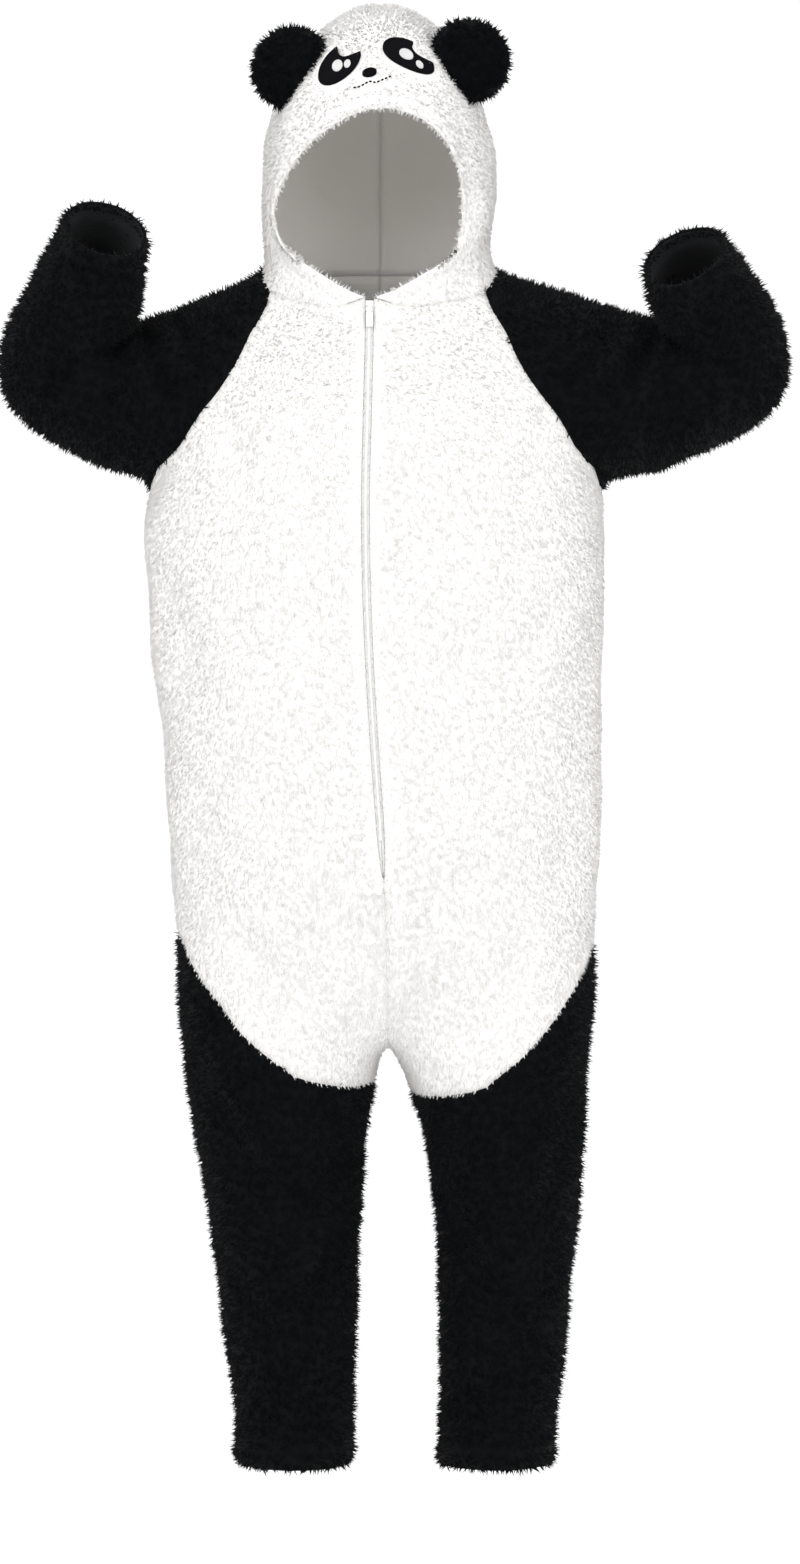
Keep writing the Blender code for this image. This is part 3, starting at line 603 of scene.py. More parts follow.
CREASES = (
    # white front, from the zip's end to the crotch, and over the hips
    Crease((-20, -400), (-24, -705), 4.6, 13),
    Crease((25, -470), (24, -712), 5.2, 12),
    Crease((-4, -520), (-2, -690), -2.6, 10),
    Crease((-128, -560), (-96, -690), 3.4, 15),
    Crease((118, -555), (98, -700), 3.0, 16),
    Crease((-208, -235), (-172, -395), 3.8, 17),
    Crease((204, -250), (176, -380), 3.2, 16),
    Crease((-188, -420), (-150, -540), 2.6, 16),
    Crease((178, -430), (150, -560), 2.8, 17),
    Crease((-60, -150), (-74, -330), 1.8, 18),
    Crease((58, -170), (66, -360), 1.7, 18),
    Crease((-150, -90), (-118, -190), 2.6, 12),
    Crease((150, -92), (122, -186), 2.4, 12),
    # black legs
    Crease((-182, -690), (-112, -838), 4.4, 12),
    Crease((-160, -640), (-128, -735), 2.8, 11),
    Crease((-38, -850), (-96, -980), 4.2, 12),
    Crease((-140, -900), (-92, -1010), 2.8, 11),
    Crease((-48, -960), (-70, -1050), 2.6, 10),
    Crease((176, -735), (128, -890), 4.2, 12),
    Crease((48, -815), (92, -935), 3.8, 11),
    Crease((156, -905), (118, -1015), 3.0, 11),
    Crease((72, -990), (96, -1056), 2.4, 9),
    # black sleeves, from the inner elbow outward
    Crease((-222, -24), (-190, -100), 5.0, 9),
    Crease((-186, -22), (-158, -84), 3.8, 9),
    Crease((-250, -74), (-240, -128), 3.6, 9),
    Crease((-282, -50), (-296, -98), 3.2, 9),
    Crease((-236, 12), (-286, 30), 2.6, 9),
    Crease((252, -26), (212, -98), 5.0, 9),
    Crease((206, -28), (172, -88), 3.8, 9),
    Crease((276, -78), (268, -126), 3.4, 9),
    Crease((312, -52), (330, -92), 3.2, 9),
    Crease((262, 2), (318, 16), 2.6, 9),
    # the back
    Crease((-22, -360), (-30, -640), 4.0, 15, True),
    Crease((28, -400), (22, -660), 4.4, 14, True),
    Crease((-120, -120), (-60, -290), 3.2, 17, True),
    Crease((112, -110), (66, -300), 3.0, 17, True),
    Crease((-150, -500), (-86, -640), 3.2, 15, True),
    Crease((150, -510), (92, -650), 3.2, 15, True),
    Crease((-170, -700), (-104, -830), 3.8, 12, True),
    Crease((168, -720), (120, -860), 3.8, 12, True),
    Crease((-60, -870), (-104, -985), 3.2, 11, True),
    Crease((66, -880), (104, -1000), 3.2, 11, True),
    Crease((-230, -30), (-196, -106), 3.6, 10, True),
    Crease((250, -30), (214, -106), 3.6, 10, True),
)


@dataclass
class Cloth:
    """The whole garment's cloth as one sewn surface."""

    wall: float = 3.0 * MM
    weld: float = 0.9 * MM
    levels: int = 2
    points: np.ndarray = field(default=None, repr=False)
    normals: np.ndarray = field(default=None, repr=False)
    triangles: np.ndarray = field(default=None, repr=False)
    triangle_panel: np.ndarray = field(default=None, repr=False)
    seam_distance: np.ndarray = field(default=None, repr=False)
    edge_distance: dict = field(default_factory=dict, repr=False)
    edge_runs: dict = field(default_factory=dict, repr=False)
    skin: Object = field(default=None, repr=False)
    tree: BVHTree = field(default=None, repr=False)

    def outer_skin(self, name: str) -> Mesh:
        """The outer skin alone of a frame panel, in a mesh of its own."""
        work = bmesh.new()
        work.from_mesh(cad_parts[name].data)
        bmesh.ops.remove_doubles(work, verts=work.verts, dist=SAME_POINT)
        short = 1.5 * self.wall
        rim = [face for face in work.faces if min(edge.calc_length() for edge in face.edges) < short]
        bmesh.ops.delete(work, geom=rim, context="FACES")
        skins, left = [], set(work.faces)
        while left:
            first = left.pop()
            island, reach = [first], [first]
            while reach:
                for edge in reach.pop().edges:
                    for face in edge.link_faces:
                        if face in left:
                            left.remove(face)
                            island.append(face)
                            reach.append(face)
            skins.append(island)
        skins.sort(key=lambda island: sum(face.calc_area() for face in island))
        inner = [face for island in skins[:-1] for face in island]
        bmesh.ops.delete(work, geom=inner, context="FACES")
        number = list(PANELS).index(name)
        for face in work.faces:
            face.material_index = number
        mesh = bpy.data.meshes.new(name + "_skin")
        work.to_mesh(mesh)
        work.free()
        return mesh

    def sew(self) -> None:
        """Joins the panels' outer skins along their seams and smooths them."""
        work = bmesh.new()
        for name in PANELS:
            mesh = self.outer_skin(name)
            work.from_mesh(mesh)
            bpy.data.meshes.remove(mesh)
        bmesh.ops.remove_doubles(work, verts=work.verts, dist=self.weld)
        bmesh.ops.join_triangles(
            work, faces=work.faces, cmp_materials=True,
            angle_face_threshold=math.radians(50), angle_shape_threshold=math.radians(70),
        )
        self.skin = finished_object(work, "sewn_cloth", [])
        for name in PANELS:
            self.skin.data.materials.append(None)
        smoother = self.skin.modifiers.new("smooth", "SUBSURF")
        smoother.levels = smoother.render_levels = self.levels
        smoother.boundary_smooth = "PRESERVE_CORNERS"
        applied(self.skin)
        self.measure()

    def measure(self) -> None:
        """Reads the skin's places, directions, triangles and the distances to its edges."""
        mesh = self.skin.data
        mesh.calc_loop_triangles()
        count = len(mesh.vertices)
        self.points = np.empty(count * 3)
        mesh.vertices.foreach_get("co", self.points)
        self.points = self.points.reshape(-1, 3)
        self.normals = np.empty(count * 3)
        mesh.vertex_normals.foreach_get("vector", self.normals)
        self.normals = self.normals.reshape(-1, 3)
        tri = np.empty(len(mesh.loop_triangles) * 3, dtype=np.int32)
        mesh.loop_triangles.foreach_get("vertices", tri)
        self.triangles = tri.reshape(-1, 3)
        owner = np.empty(len(mesh.loop_triangles), dtype=np.int32)
        mesh.loop_triangles.foreach_get("polygon_index", owner)
        panel = np.empty(len(mesh.polygons), dtype=np.int32)
        mesh.polygons.foreach_get("material_index", panel)
        self.triangle_panel = panel[owner]
        work = bmesh.new()
        work.from_mesh(mesh)
        names = list(PANELS)
        seams: set[int] = set()
        self.edge_runs = {kind: [] for kind in FreeEdge}
        for edge in work.edges:
            ends = [vert.index for vert in edge.verts]
            if len(edge.link_faces) == 2:
                if edge.link_faces[0].material_index != edge.link_faces[1].material_index:
                    seams.update(ends)
                continue
            face = edge.link_faces[0]
            kind = FREE_EDGES[names[face.material_index].split("_")[0]]
            along = (edge.verts[1].co - edge.verts[0].co).normalized()
            away = along.cross(face.normal)
            if away.dot(face.calc_center_median() - edge.verts[0].co) > 0:
                away = -away
            self.edge_runs[kind].append((ends[0], ends[1], face.material_index, tuple(away)))
        work.free()
        self.seam_distance = distance_to(self.points, self.points[sorted(seams)])
        for kind, runs in self.edge_runs.items():
            rows = sorted({row for run in runs for row in run[:2]})
            self.edge_distance[kind] = distance_to(self.points, self.points[rows])

    def drape(self) -> None:
        """Puts in the creases, the seams' grooves and the turned edges."""
        lift = np.zeros(len(self.points))
        for crease in CREASES:
            lift += crease.push(self.points, self.normals)
        lift += 1.5 * MM * Ripple(0.12, 11).at(self.points)[:, 0]
        lift += 0.6 * MM * Ripple(0.045, 12).at(self.points)[:, 1]
        zip_calm = smooth_step(self.edge_distance[FreeEdge.ZIP], 4 * MM, 40 * MM)
        over_face = smooth_step(self.points[:, 2], 0.13, 0.17) * smooth_step(-self.points[:, 1], 0.0, 0.03)
        face_calm = 1 - 0.75 * over_face
        lift *= (0.15 + 0.85 * zip_calm) * face_calm
        lift -= 0.9 * MM * bell(self.seam_distance, 6.5 * MM)
        for kind, turn in TURNS.items():
            away = self.edge_distance[kind]
            lift += turn.puff * bell(away - 0.5 * turn.groove, 0.42 * turn.groove)
            lift -= 0.8 * turn.puff * bell(away - turn.groove - 2 * MM, 5 * MM)
        self.points = self.points + self.normals * lift[:, None]
        mesh = self.skin.data
        mesh.vertices.foreach_set("co", self.points.ravel())
        mesh.update()
        normals = np.empty(len(self.points) * 3)
        mesh.vertex_normals.foreach_get("vector", normals)
        self.normals = normals.reshape(-1, 3)
        self.tree = BVHTree.FromPolygons(self.points.tolist(), self.triangles.tolist())

    def panel(self, name: str, wardrobe: Wardrobe) -> Object:
        """Cuts one panel out of the sewn cloth and gives it its wall.

        Args:
            name: The panel's frame node.
            wardrobe: The finishes.

        Returns:
            The panel as a closed shell.
        """
        number = list(PANELS).index(name)
        plush = PANELS[name].plush
        work = bmesh.new()
        work.from_mesh(self.skin.data)
        row = work.verts.layers.int.new("row")
        for vert in work.verts:
            vert[row] = vert.index
        others = [face for face in work.faces if face.material_index != number]
        bmesh.ops.delete(work, geom=others, context="FACES")
        outer = list(work.faces)
        for face in outer:
            face.material_index = 0
        copied = bmesh.ops.extrude_face_region(work, geom=outer, use_keep_orig=True)["geom"]
        for item in copied:
            if isinstance(item, BMVert):
                item.co -= Vector(self.normals[item[row]]) * self.wall
            elif isinstance(item, BMFace):
                item.material_index = 1
        bmesh.ops.recalc_face_normals(work, faces=work.faces)
        materials = [wardrobe.ground[plush], wardrobe.backing[plush]]
        return finished_object(work, name + "_cloth", materials)


# ----------------------------------------------------------------------- pile


@dataclass
class Turf:
    """Places for tufts: roots, outward directions, lie of the nap and lengths."""

    roots: list = field(default_factory=list)
    outs: list = field(default_factory=list)
    lies: list = field(default_factory=list)
    lengths: list = field(default_factory=list)

    def add(self, roots: np.ndarray, outs: np.ndarray, lies: np.ndarray, lengths: np.ndarray) -> None:
        """Adds a batch of tufts."""
        self.roots.append(roots)
        self.outs.append(outs)
        self.lies.append(lies)
        self.lengths.append(lengths)

    def gathered(self) -> tuple[np.ndarray, np.ndarray, np.ndarray, np.ndarray]:
        """All the batches as four arrays."""
        return tuple(np.concatenate(rows) for rows in (self.roots, self.outs, self.lies, self.lengths))


@dataclass(frozen=True)
class PileLie:
    """How one plush's tufts stand: their size in metres and how they lean."""

    length: float
    half_width: float
    nap: float
    clump: float
    swirl: float
    stray: float


LIES = {
    Plush.WHITE: PileLie(4.4 * MM, 1.45 * MM, 1.0, 0.12, 0.1, 0.16),
    Plush.BLACK: PileLie(6.6 * MM, 1.35 * MM, 0.4, 0.34, 0.22, 0.42),
}


@dataclass
class Pile:
    """Plush pile as one mesh of small pointed tufts for each panel."""

    density: float = 118000.0
    sunk: float = 1.3 * MM
    seed: int = 5
    keep_off: list = field(default_factory=list)

    def tuft(self) -> tuple[np.ndarray, np.ndarray]:
        """One tuft of unit size.

        Returns:
            Its points, root ring first, and its triangles.
        """
        work = bmesh.new()
        bmesh.ops.create_cone(work, cap_ends=True, cap_tris=False, segments=3, radius1=1, radius2=0, depth=1)
        bmesh.ops.remove_doubles(work, verts=work.verts, dist=1e-4)
        bmesh.ops.translate(work, verts=work.verts, vec=(0, 0, 0.5))
        bmesh.ops.triangulate(work, faces=work.faces)
        work.verts.ensure_lookup_table()
        points = np.array([tuple(vert.co) for vert in work.verts])
        faces = np.array([[vert.index for vert in face.verts] for face in work.faces])
        work.free()
        return points, faces

    def scatter(
        self, points: np.ndarray, triangles: np.ndarray, dice: np.random.Generator, density: float
    ) -> tuple[np.ndarray, np.ndarray]:
        """Evenly spread places on some triangles.

        Args:
            points: The surface's points.
            triangles: The triangles to cover.
            dice: The random source.
            density: Tufts for each square metre.

        Returns:
            The triangle number and the three corner weights of each place.
        """
        corners = points[triangles]
        sides = corners[:, 1:] - corners[:, :1]
        area = 0.5 * np.linalg.norm(np.cross(sides[:, 0], sides[:, 1]), axis=1)
        reach = np.cumsum(area)
        count = max(1, int(reach[-1] * density))
        steps = (np.arange(count) + dice.random(count)) / count * reach[-1]
        chosen = np.minimum(np.searchsorted(reach, steps), len(triangles) - 1)
        root = np.sqrt(dice.random(count))
        other = dice.random(count)
        weights = np.stack((1 - root, root * (1 - other), root * other), axis=1)
        return chosen, weights

    def grow(self, turf: Turf, name: str, material: Material, lie: PileLie, seed: int) -> Object:
        """Builds the tufts as one joined mesh.

        Args:
            turf: Where the tufts stand.
            name: The new object's name.
            material: The pile's finish.
            lie: How the tufts stand.
            seed: The random seed.

        Returns:
            The pile.
        """
        dice = np.random.default_rng(seed)
        roots, outs, lies, lengths = turf.gathered()
        count = len(roots)
        clump = Ripple(0.011, 21).at(roots)
        swirl = Ripple(0.05, 22).at(roots)
        stray = lie.stray * dice.normal(size=(count, 3))
        aim = unit(outs + lie.nap * lies + lie.clump * clump + lie.swirl * swirl + stray)
        across = unit(np.cross(aim, dice.normal(size=(count, 3))))
        beside = np.cross(aim, across)
        shape, faces = self.tuft()
        wide = lie.half_width * dice.uniform(0.75, 1.2, count) * np.clip(lengths / lie.length, 0.6, 1.0)
        tall = lengths * dice.uniform(1.0 - lie.stray, 1.0 + lie.stray, count) + self.sunk
        frames = np.stack((across * wide[:, None], beside * wide[:, None], aim * tall[:, None]), axis=1)
        places = np.einsum("kj,njc->nkc", shape, frames) + (roots - outs * self.sunk)[:, None, :]
        spread = np.einsum("kj,njc->nkc", shape * (0.2, 0.2, 0.0), np.stack((across, beside, aim), axis=1))
        tips = shape[:, 2][None, :, None]
        normals = unit((outs[:, None, :] + spread + 0.12 * tips * aim[:, None, :]).reshape(-1, 3))
        size = len(shape)
        mesh = bpy.data.meshes.new(name)
        mesh.vertices.add(count * size)
        mesh.vertices.foreach_set("co", places.ravel())
        index = (faces[None] + (np.arange(count) * size)[:, None, None]).reshape(-1)
        mesh.loops.add(len(index))
        mesh.loops.foreach_set("vertex_index", index)
        mesh.polygons.add(len(index) // 3)
        mesh.polygons.foreach_set("loop_start", np.arange(0, len(index), 3))
        mesh.polygons.foreach_set("use_smooth", np.ones(len(index) // 3, dtype=bool))
        mesh.update(calc_edges=True)
        rise = mesh.attributes.new("rise", "FLOAT", "POINT")
        rise.data.foreach_set("value", np.tile(shape[:, 2], count))
        shade = mesh.attributes.new("shade", "FLOAT", "POINT")
        shade.data.foreach_set("value", np.repeat(dice.random(count), size))
        cells = math.ceil(math.sqrt(count))
        cell = np.stack((np.arange(count) % cells, np.arange(count) // cells), axis=1)
        spot = (0.5 + 0.34 * shape[:, 0], 0.14 + 0.72 * shape[:, 2] + 0.05 * shape[:, 1])
        spot = np.stack(spot, axis=1)
        grid = ((cell[:, None, :] + spot[None]) / cells).reshape(-1, 2)
        uv = mesh.uv_layers.new(name="OFBake")
        uv.data.foreach_set("uv", grid[index].ravel())
        mesh.materials.append(material)
        mesh.normals_split_custom_set_from_vertices(normals.tolist())
        item = bpy.data.objects.new(name, mesh)
        bpy.context.scene.collection.objects.link(item)
        return item

    def downhill(self, outs: np.ndarray) -> np.ndarray:
        """The nap's direction along the cloth, which is downward."""
        down = np.tile((0.0, 0.0, -1.0), (len(outs), 1))
        return down - outs * np.sum(down * outs, axis=1, keepdims=True)

    def on_panel(self, cloth: Cloth, name: str, material: Material) -> Object:
        """The pile of one panel, with the pile that shows round its free edges.

        Args:
            cloth: The draped cloth.
            name: The panel's frame node.
            material: The pile's finish.

        Returns:
            The pile.
        """
        number = list(PANELS).index(name)
        lie = LIES[PANELS[name].plush]
        dice = np.random.default_rng(self.seed + number)
        triangles = cloth.triangles[cloth.triangle_panel == number]
        turf = Turf()
        chosen, weights = self.scatter(cloth.points, triangles, dice, self.density)
        corner = triangles[chosen]
        roots = blended(weights, cloth.points[corner])
        outs = unit(blended(weights, cloth.normals[corner]))
        lengths = np.full(len(roots), lie.length)
        seam = blended(weights, cloth.seam_distance[corner])
        lengths *= 1 - 0.2 * bell(seam, 3 * MM)
        for kind, turn in TURNS.items():
            away = blended(weights, cloth.edge_distance[kind][corner])
            near = 1 - smooth_step(away, 0.0, 14 * MM)
            lengths = lengths * (1 - near) + np.minimum(lengths, 1.15 * turn.tuft) * near
            if kind is not FreeEdge.ZIP:
                lengths *= 1 - 0.5 * bell(away - turn.groove, 2.4 * MM)
        keep = np.ones(len(roots), dtype=bool)
        for patch in self.keep_off:
            inside, near = patch.cover(roots)
            keep &= ~inside
            lengths *= 1 - 0.55 * near
        turf.add(roots[keep], outs[keep], self.downhill(outs[keep]), lengths[keep])
        for kind, turn in TURNS.items():
            if turn.inside > 0:
                close = cloth.edge_distance[kind][triangles].max(axis=1) < turn.inside
                if close.any():
                    chosen, weights = self.scatter(cloth.points, triangles[close], dice, self.density)
                    corner = triangles[close][chosen]
                    out = unit(blended(weights, cloth.normals[corner]))
                    root = blended(weights, cloth.points[corner]) - out * cloth.wall
                    turf.add(root, -out, self.downhill(-out) * 0.4, np.full(len(root), 0.6 * turn.tuft))
            for first, second, owner, away in cloth.edge_runs[kind]:
                if owner != number:
                    continue
                start, end = cloth.points[first], cloth.points[second]
                count = max(1, round(float(np.linalg.norm(end - start)) / (1.5 * MM)))
                part = dice.random(count)[:, None]
                out = unit(cloth.normals[first] * (1 - part) + cloth.normals[second] * part)
                depth = dice.uniform(0.1, 0.9, count)[:, None]
                root = start * (1 - part) + end * part - out * cloth.wall * depth
                aim = unit(np.array(away) + out * (0.9 - 1.8 * depth))
                turf.add(root, aim, self.downhill(aim) * 0.2, np.full(count, turn.tuft))
        return self.grow(turf, name + "_pile", material, lie, self.seed + 40 + number)


# ----------------------------------------------------------------------- face


FACE_DEPTH = 90  # how far behind or before its plane the face may reach, in millimetres


@dataclass
class FacePlane:
    """The plane on which the felt face is set out, over the front of the hood."""

    middle: Vector = field(default_factory=lambda: Vector((-5, -88, 214)) * MM)
    tilt: float = math.radians(7)
    rise: float = math.radians(45)

    def __post_init__(self) -> None:
        """Works out the plane's directions."""
        turn = Matrix.Rotation(-self.rise, 3, "X") @ Matrix.Rotation(-self.tilt, 3, "Y")
        self.across = turn @ Vector((1, 0, 0))
        self.up = turn @ Vector((0, 0, 1))
        self.out = turn @ Vector((0, -1, 0))

    def drop(self, cloth: Cloth, u: float, v: float, height: float) -> Vector:
        """A place over the hood.

        Args:
            cloth: The draped cloth.
            u: Across the plane, in millimetres.
            v: Up the plane, in millimetres.
            height: Over the cloth, in metres.

        Returns:
            The place in space.
        """
        start = self.middle + (self.across * u + self.up * v) * MM + self.out * 0.2
        place, _, _, _ = cloth.tree.ray_cast(start, -self.out)
        return place + self.out * height

    def flat(self, points: np.ndarray) -> np.ndarray:
        """The u and v of some places, in millimetres, with their depth under the plane."""
        rows = points - np.array(self.middle)
        return np.stack([rows @ np.array(axis) / MM for axis in (self.across, self.up, self.out)], axis=1)


@dataclass(frozen=True)
class Bite:
    """A round bite out of a felt oval, in millimetres on the face's plane."""

    u: float
    v: float
    radius: float


@dataclass
class FeltPatch:
    """A felt piece with a raised satin edge, sewn flat on the hood."""

    name: str
    node: str
    u: float
    v: float
    across: float
    up: float
    turn: float
    plane: FacePlane
    bite: Bite | None = None
    lift: float = 2.6 * MM
    bead: float = 0.7 * MM
    under: float = 0.4 * MM
    segments: int = 144
    rings: tuple = (0.985, 0.955, 0.925, 0.895, 0.84, 0.7, 0.5, 0.3, 0.12)

    def radius(self, angle: np.ndarray) -> np.ndarray:
        """The outline's distance from the patch's middle, in millimetres."""
        local = angle - self.turn
        size = 1 / np.hypot(np.cos(local) / self.across, np.sin(local) / self.up)
        if self.bite:
            away = (self.bite.u - self.u, self.bite.v - self.v)
            along = away[0] * np.cos(angle) + away[1] * np.sin(angle)
            beside = self.bite.radius**2 - (away[0] ** 2 + away[1] ** 2 - along**2)
            bitten = (along > 0) & (beside > 0)
            size = np.where(bitten, np.minimum(size, along - np.sqrt(np.maximum(beside, 0))), size)
        return size

    def cover(self, points: np.ndarray) -> tuple[np.ndarray, np.ndarray]:
        """Which tufts the patch covers.

        Args:
            points: The tufts' roots.

        Returns:
            Whether each is under the patch, and how near its outline each is.
        """
        flat = self.plane.flat(points)
        u, v = flat[:, 0] - self.u, flat[:, 1] - self.v
        over = np.hypot(u, v) - self.radius(np.arctan2(v, u))
        level = np.abs(flat[:, 2]) < FACE_DEPTH
        return (over < 0.6) & level, np.where(level, bell(np.maximum(over, 0), 5.0), 0.0)

    def build(self, cloth: Cloth, material: Material) -> Object:
        """Builds the patch on the hood.

        Args:
            cloth: The draped cloth.
            material: The felt's finish.

        Returns:
            The patch.
        """
        work = bmesh.new()
        bmesh.ops.create_circle(work, cap_ends=False, segments=self.segments, radius=1)
        edges, reach = list(work.edges), 1.0
        for ring in self.rings:
            grown = bmesh.ops.extrude_edge_only(work, edges=edges)["geom"]
            bmesh.ops.scale(work, verts=points_in(grown), vec=(ring / reach, ring / reach, 1))
            edges, reach = edges_in(grown), ring
        bmesh.ops.edgeloop_fill(work, edges=edges)
        under = bmesh.ops.extrude_face_region(work, geom=list(work.faces), use_keep_orig=True)["geom"]
        bmesh.ops.translate(work, verts=points_in(under), vec=(0, 0, -1))
        for vert in work.verts:
            part, angle = math.hypot(vert.co.x, vert.co.y), math.atan2(vert.co.y, vert.co.x)
            size = float(self.radius(np.array([angle]))[0]) * part
            edge = math.exp(-(((1 - part) * size / max(part, 0.01) - 1.0) / 0.75) ** 2)
            height = self.lift - 1.4 * MM * max(0.0, (part - 0.985) / 0.015) + self.bead * edge
            if vert.co.z < -0.5:
                height = self.under
            u, v = self.u + math.cos(angle) * size, self.v + math.sin(angle) * size
            vert.co = self.plane.drop(cloth, u, v, height)
        bmesh.ops.recalc_face_normals(work, faces=work.faces)
        item = finished_object(work, self.name, [material])
        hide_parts(self.node)
        return item


@dataclass
class Face:
    """The eyes, their glints, the nose and the stitched mouth."""

    plane: FacePlane = field(default_factory=FacePlane)
    mouth: tuple = (
        (-23.2, -30.8), (-17.7, -31.9), (-13.1, -30.4), (-7.2, -28.2), (-2.2, -30.8), (6, -28.3), (13.2, -25.6)
    )
    mouth_middle: tuple = (-5, -29)
    mouth_reach: float = 34
    stitch: float = 2.9 * MM
    thread: float = 0.9 * MM
    stitch_height: float = 4.0 * MM

    def __post_init__(self) -> None:
        """Sets out the felt pieces."""
        plane = self.plane
        self.black = [
            FeltPatch("right_eye", "eye_right", -31.2, 3.6, 22, 18, 0.8, plane, Bite(-21.2, 15, 9.8)),
            FeltPatch("left_eye", "eye_left", 31.8, 1.6, 24.3, 16.5, -0.45, plane, Bite(46.4, 10, 10.2)),
            FeltPatch("nose_button", "nose", -6.2, -17.6, 6.6, 4.0, 0, plane, segments=64),
        ]
        self.white = [
            FeltPatch(
                f"{side}_glint_{size}", f"glint_{side}_{size}", *oval, plane, lift=3.6 * MM, segments=48, bead=0.3 * MM
            )
            for side, size, oval in (
                ("right", "large", (-33.6, -0.6, 4.6, 6.4, 0.2)),
                ("right", "small", (-24.8, -3.4, 3.0, 4.2, 0)),
                ("left", "large", (29.4, -1.0, 6.4, 5.8, -0.2)),
                ("left", "small", (40.6, -9.4, 3.4, 3.8, 0)),
            )
        ]

    def cover(self, points: np.ndarray) -> tuple[np.ndarray, np.ndarray]:
        """Which tufts the mouth's stitches hold down.

        Args:
            points: The tufts' roots.

        Returns:
            That none is covered, and how near the mouth's line each is.
        """
        line = np.array(self.mouth, dtype=float)
        ticks = np.linspace(0, len(line) - 1, 60)
        track = [np.interp(ticks, np.arange(len(line)), line[:, axis]) for axis in (0, 1)]
        track = np.stack(track, axis=1)
        flat = self.plane.flat(points)
        near = np.zeros(len(points))
        u, v = flat[:, 0] - self.mouth_middle[0], flat[:, 1] - self.mouth_middle[1]
        close = np.flatnonzero((np.abs(flat[:, 2]) < FACE_DEPTH) & (np.hypot(u, v) < self.mouth_reach))
        if len(close):
            off = np.linalg.norm(flat[close, None, :2] - track[None], axis=2).min(axis=1)
            near[close] = bell(off, 3.2)
        return np.zeros(len(points), dtype=bool), near

    def build(self, cloth: Cloth, wardrobe: Wardrobe) -> None:
        """Builds every piece of the face on the draped hood."""
        for patches, material, slot in (
            (self.black, wardrobe.black_felt, "black_felt"), (self.white, wardrobe.white_felt, "white_felt")
        ):
            for patch in patches:
                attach(patch.build(cloth, material), GARMENT)
                LOG.info("felt: %s", patch.name)
        self.build_mouth(cloth, wardrobe.black_felt)

    def build_mouth(self, cloth: Cloth, material: Material) -> None:
        """Stitches the mouth along its wavy line."""
        line = np.array(self.mouth, dtype=float)
        steps = running_length(line) * MM
        work = bmesh.new()
        count = int(steps[-1] / (self.stitch * 1.3))
        for number in range(count):
            at = (number + 0.5) / count * steps[-1]
            ends = []
            for side in (-0.5, 0.5):
                where = at + side * self.stitch
                u, v = (float(np.interp(where, steps, line[:, axis])) for axis in (0, 1))
                ends.append(self.plane.drop(cloth, u, v, self.stitch_height))
            along = ends[1] - ends[0]
            turn = along.to_track_quat("Z", "Y").to_matrix().to_4x4()
            size = Matrix.Diagonal((self.thread, self.thread, along.length / 2, 1))
            shape = Matrix.Translation((ends[0] + ends[1]) / 2) @ turn @ size
            bmesh.ops.create_uvsphere(work, u_segments=8, v_segments=6, radius=1, matrix=shape)
        item = finished_object(work, "mouth_stitches", [material])
        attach(item, GARMENT)


# ----------------------------------------------------------------------- ears


@dataclass
class Ear:
    """A stuffed round ear with a seam round its rim and long pile."""

    node: str
    ridge: float = 1.0 * MM
    density: float = 270000.0
    lie: PileLie = PileLie(5.6 * MM, 1.25 * MM, 0.3, 0.35, 0.25, 0.35)
    seed: int = 90

    def build(self, pile: Pile, wardrobe: Wardrobe) -> None:
        """Builds the stuffed ear and its pile.

        Args:
            pile: The pile's maker.
            wardrobe: The finishes.
        """
        work = bmesh.new()
        work.from_mesh(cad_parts[self.node].data)
        bmesh.ops.remove_doubles(work, verts=work.verts, dist=SAME_POINT)
        bmesh.ops.join_triangles(work, faces=work.faces, angle_face_threshold=0.9, angle_shape_threshold=1.2)
        body = finished_object(work, self.node + "_stuffed", [wardrobe.ground[Plush.BLACK]])
        smoother = body.modifiers.new("smooth", "SUBSURF")
        smoother.levels = smoother.render_levels = 1
        applied(body)
        mesh = body.data
        mesh.calc_loop_triangles()
        points = np.array([tuple(vert.co) for vert in mesh.vertices])
        normals = np.array([tuple(item.vector) for item in mesh.vertex_normals])
        triangles = np.array([tuple(item.vertices) for item in mesh.loop_triangles])
        middle = (points.min(axis=0) + points.max(axis=0)) / 2
        outside = np.linalg.norm((points - middle)[:, (0, 2)], axis=1) > 20 * MM
        seam = bell(normals[:, 1], 0.22) * outside
        points += normals * (self.ridge * seam)[:, None]
        mesh.vertices.foreach_set("co", points.ravel())
        mesh.update()
        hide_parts(self.node)
        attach(body, GARMENT)
        dice = np.random.default_rng(self.seed)
        chosen, weights = pile.scatter(points, triangles, dice, self.density)
        corner = triangles[chosen]
        roots = blended(weights, points[corner])
        outs = unit(blended(weights, normals[corner]))
        turf = Turf()
        turf.add(roots, outs, pile.downhill(outs), np.full(len(roots), self.lie.length))
        coat = pile.grow(turf, self.node + "_pile", wardrobe.pile[Plush.BLACK], self.lie, self.seed + 1)
        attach(coat, GARMENT)
        LOG.info("ear: %s with %d tufts", self.node, len(roots))


# ------------------------------------------------------------------------ zip


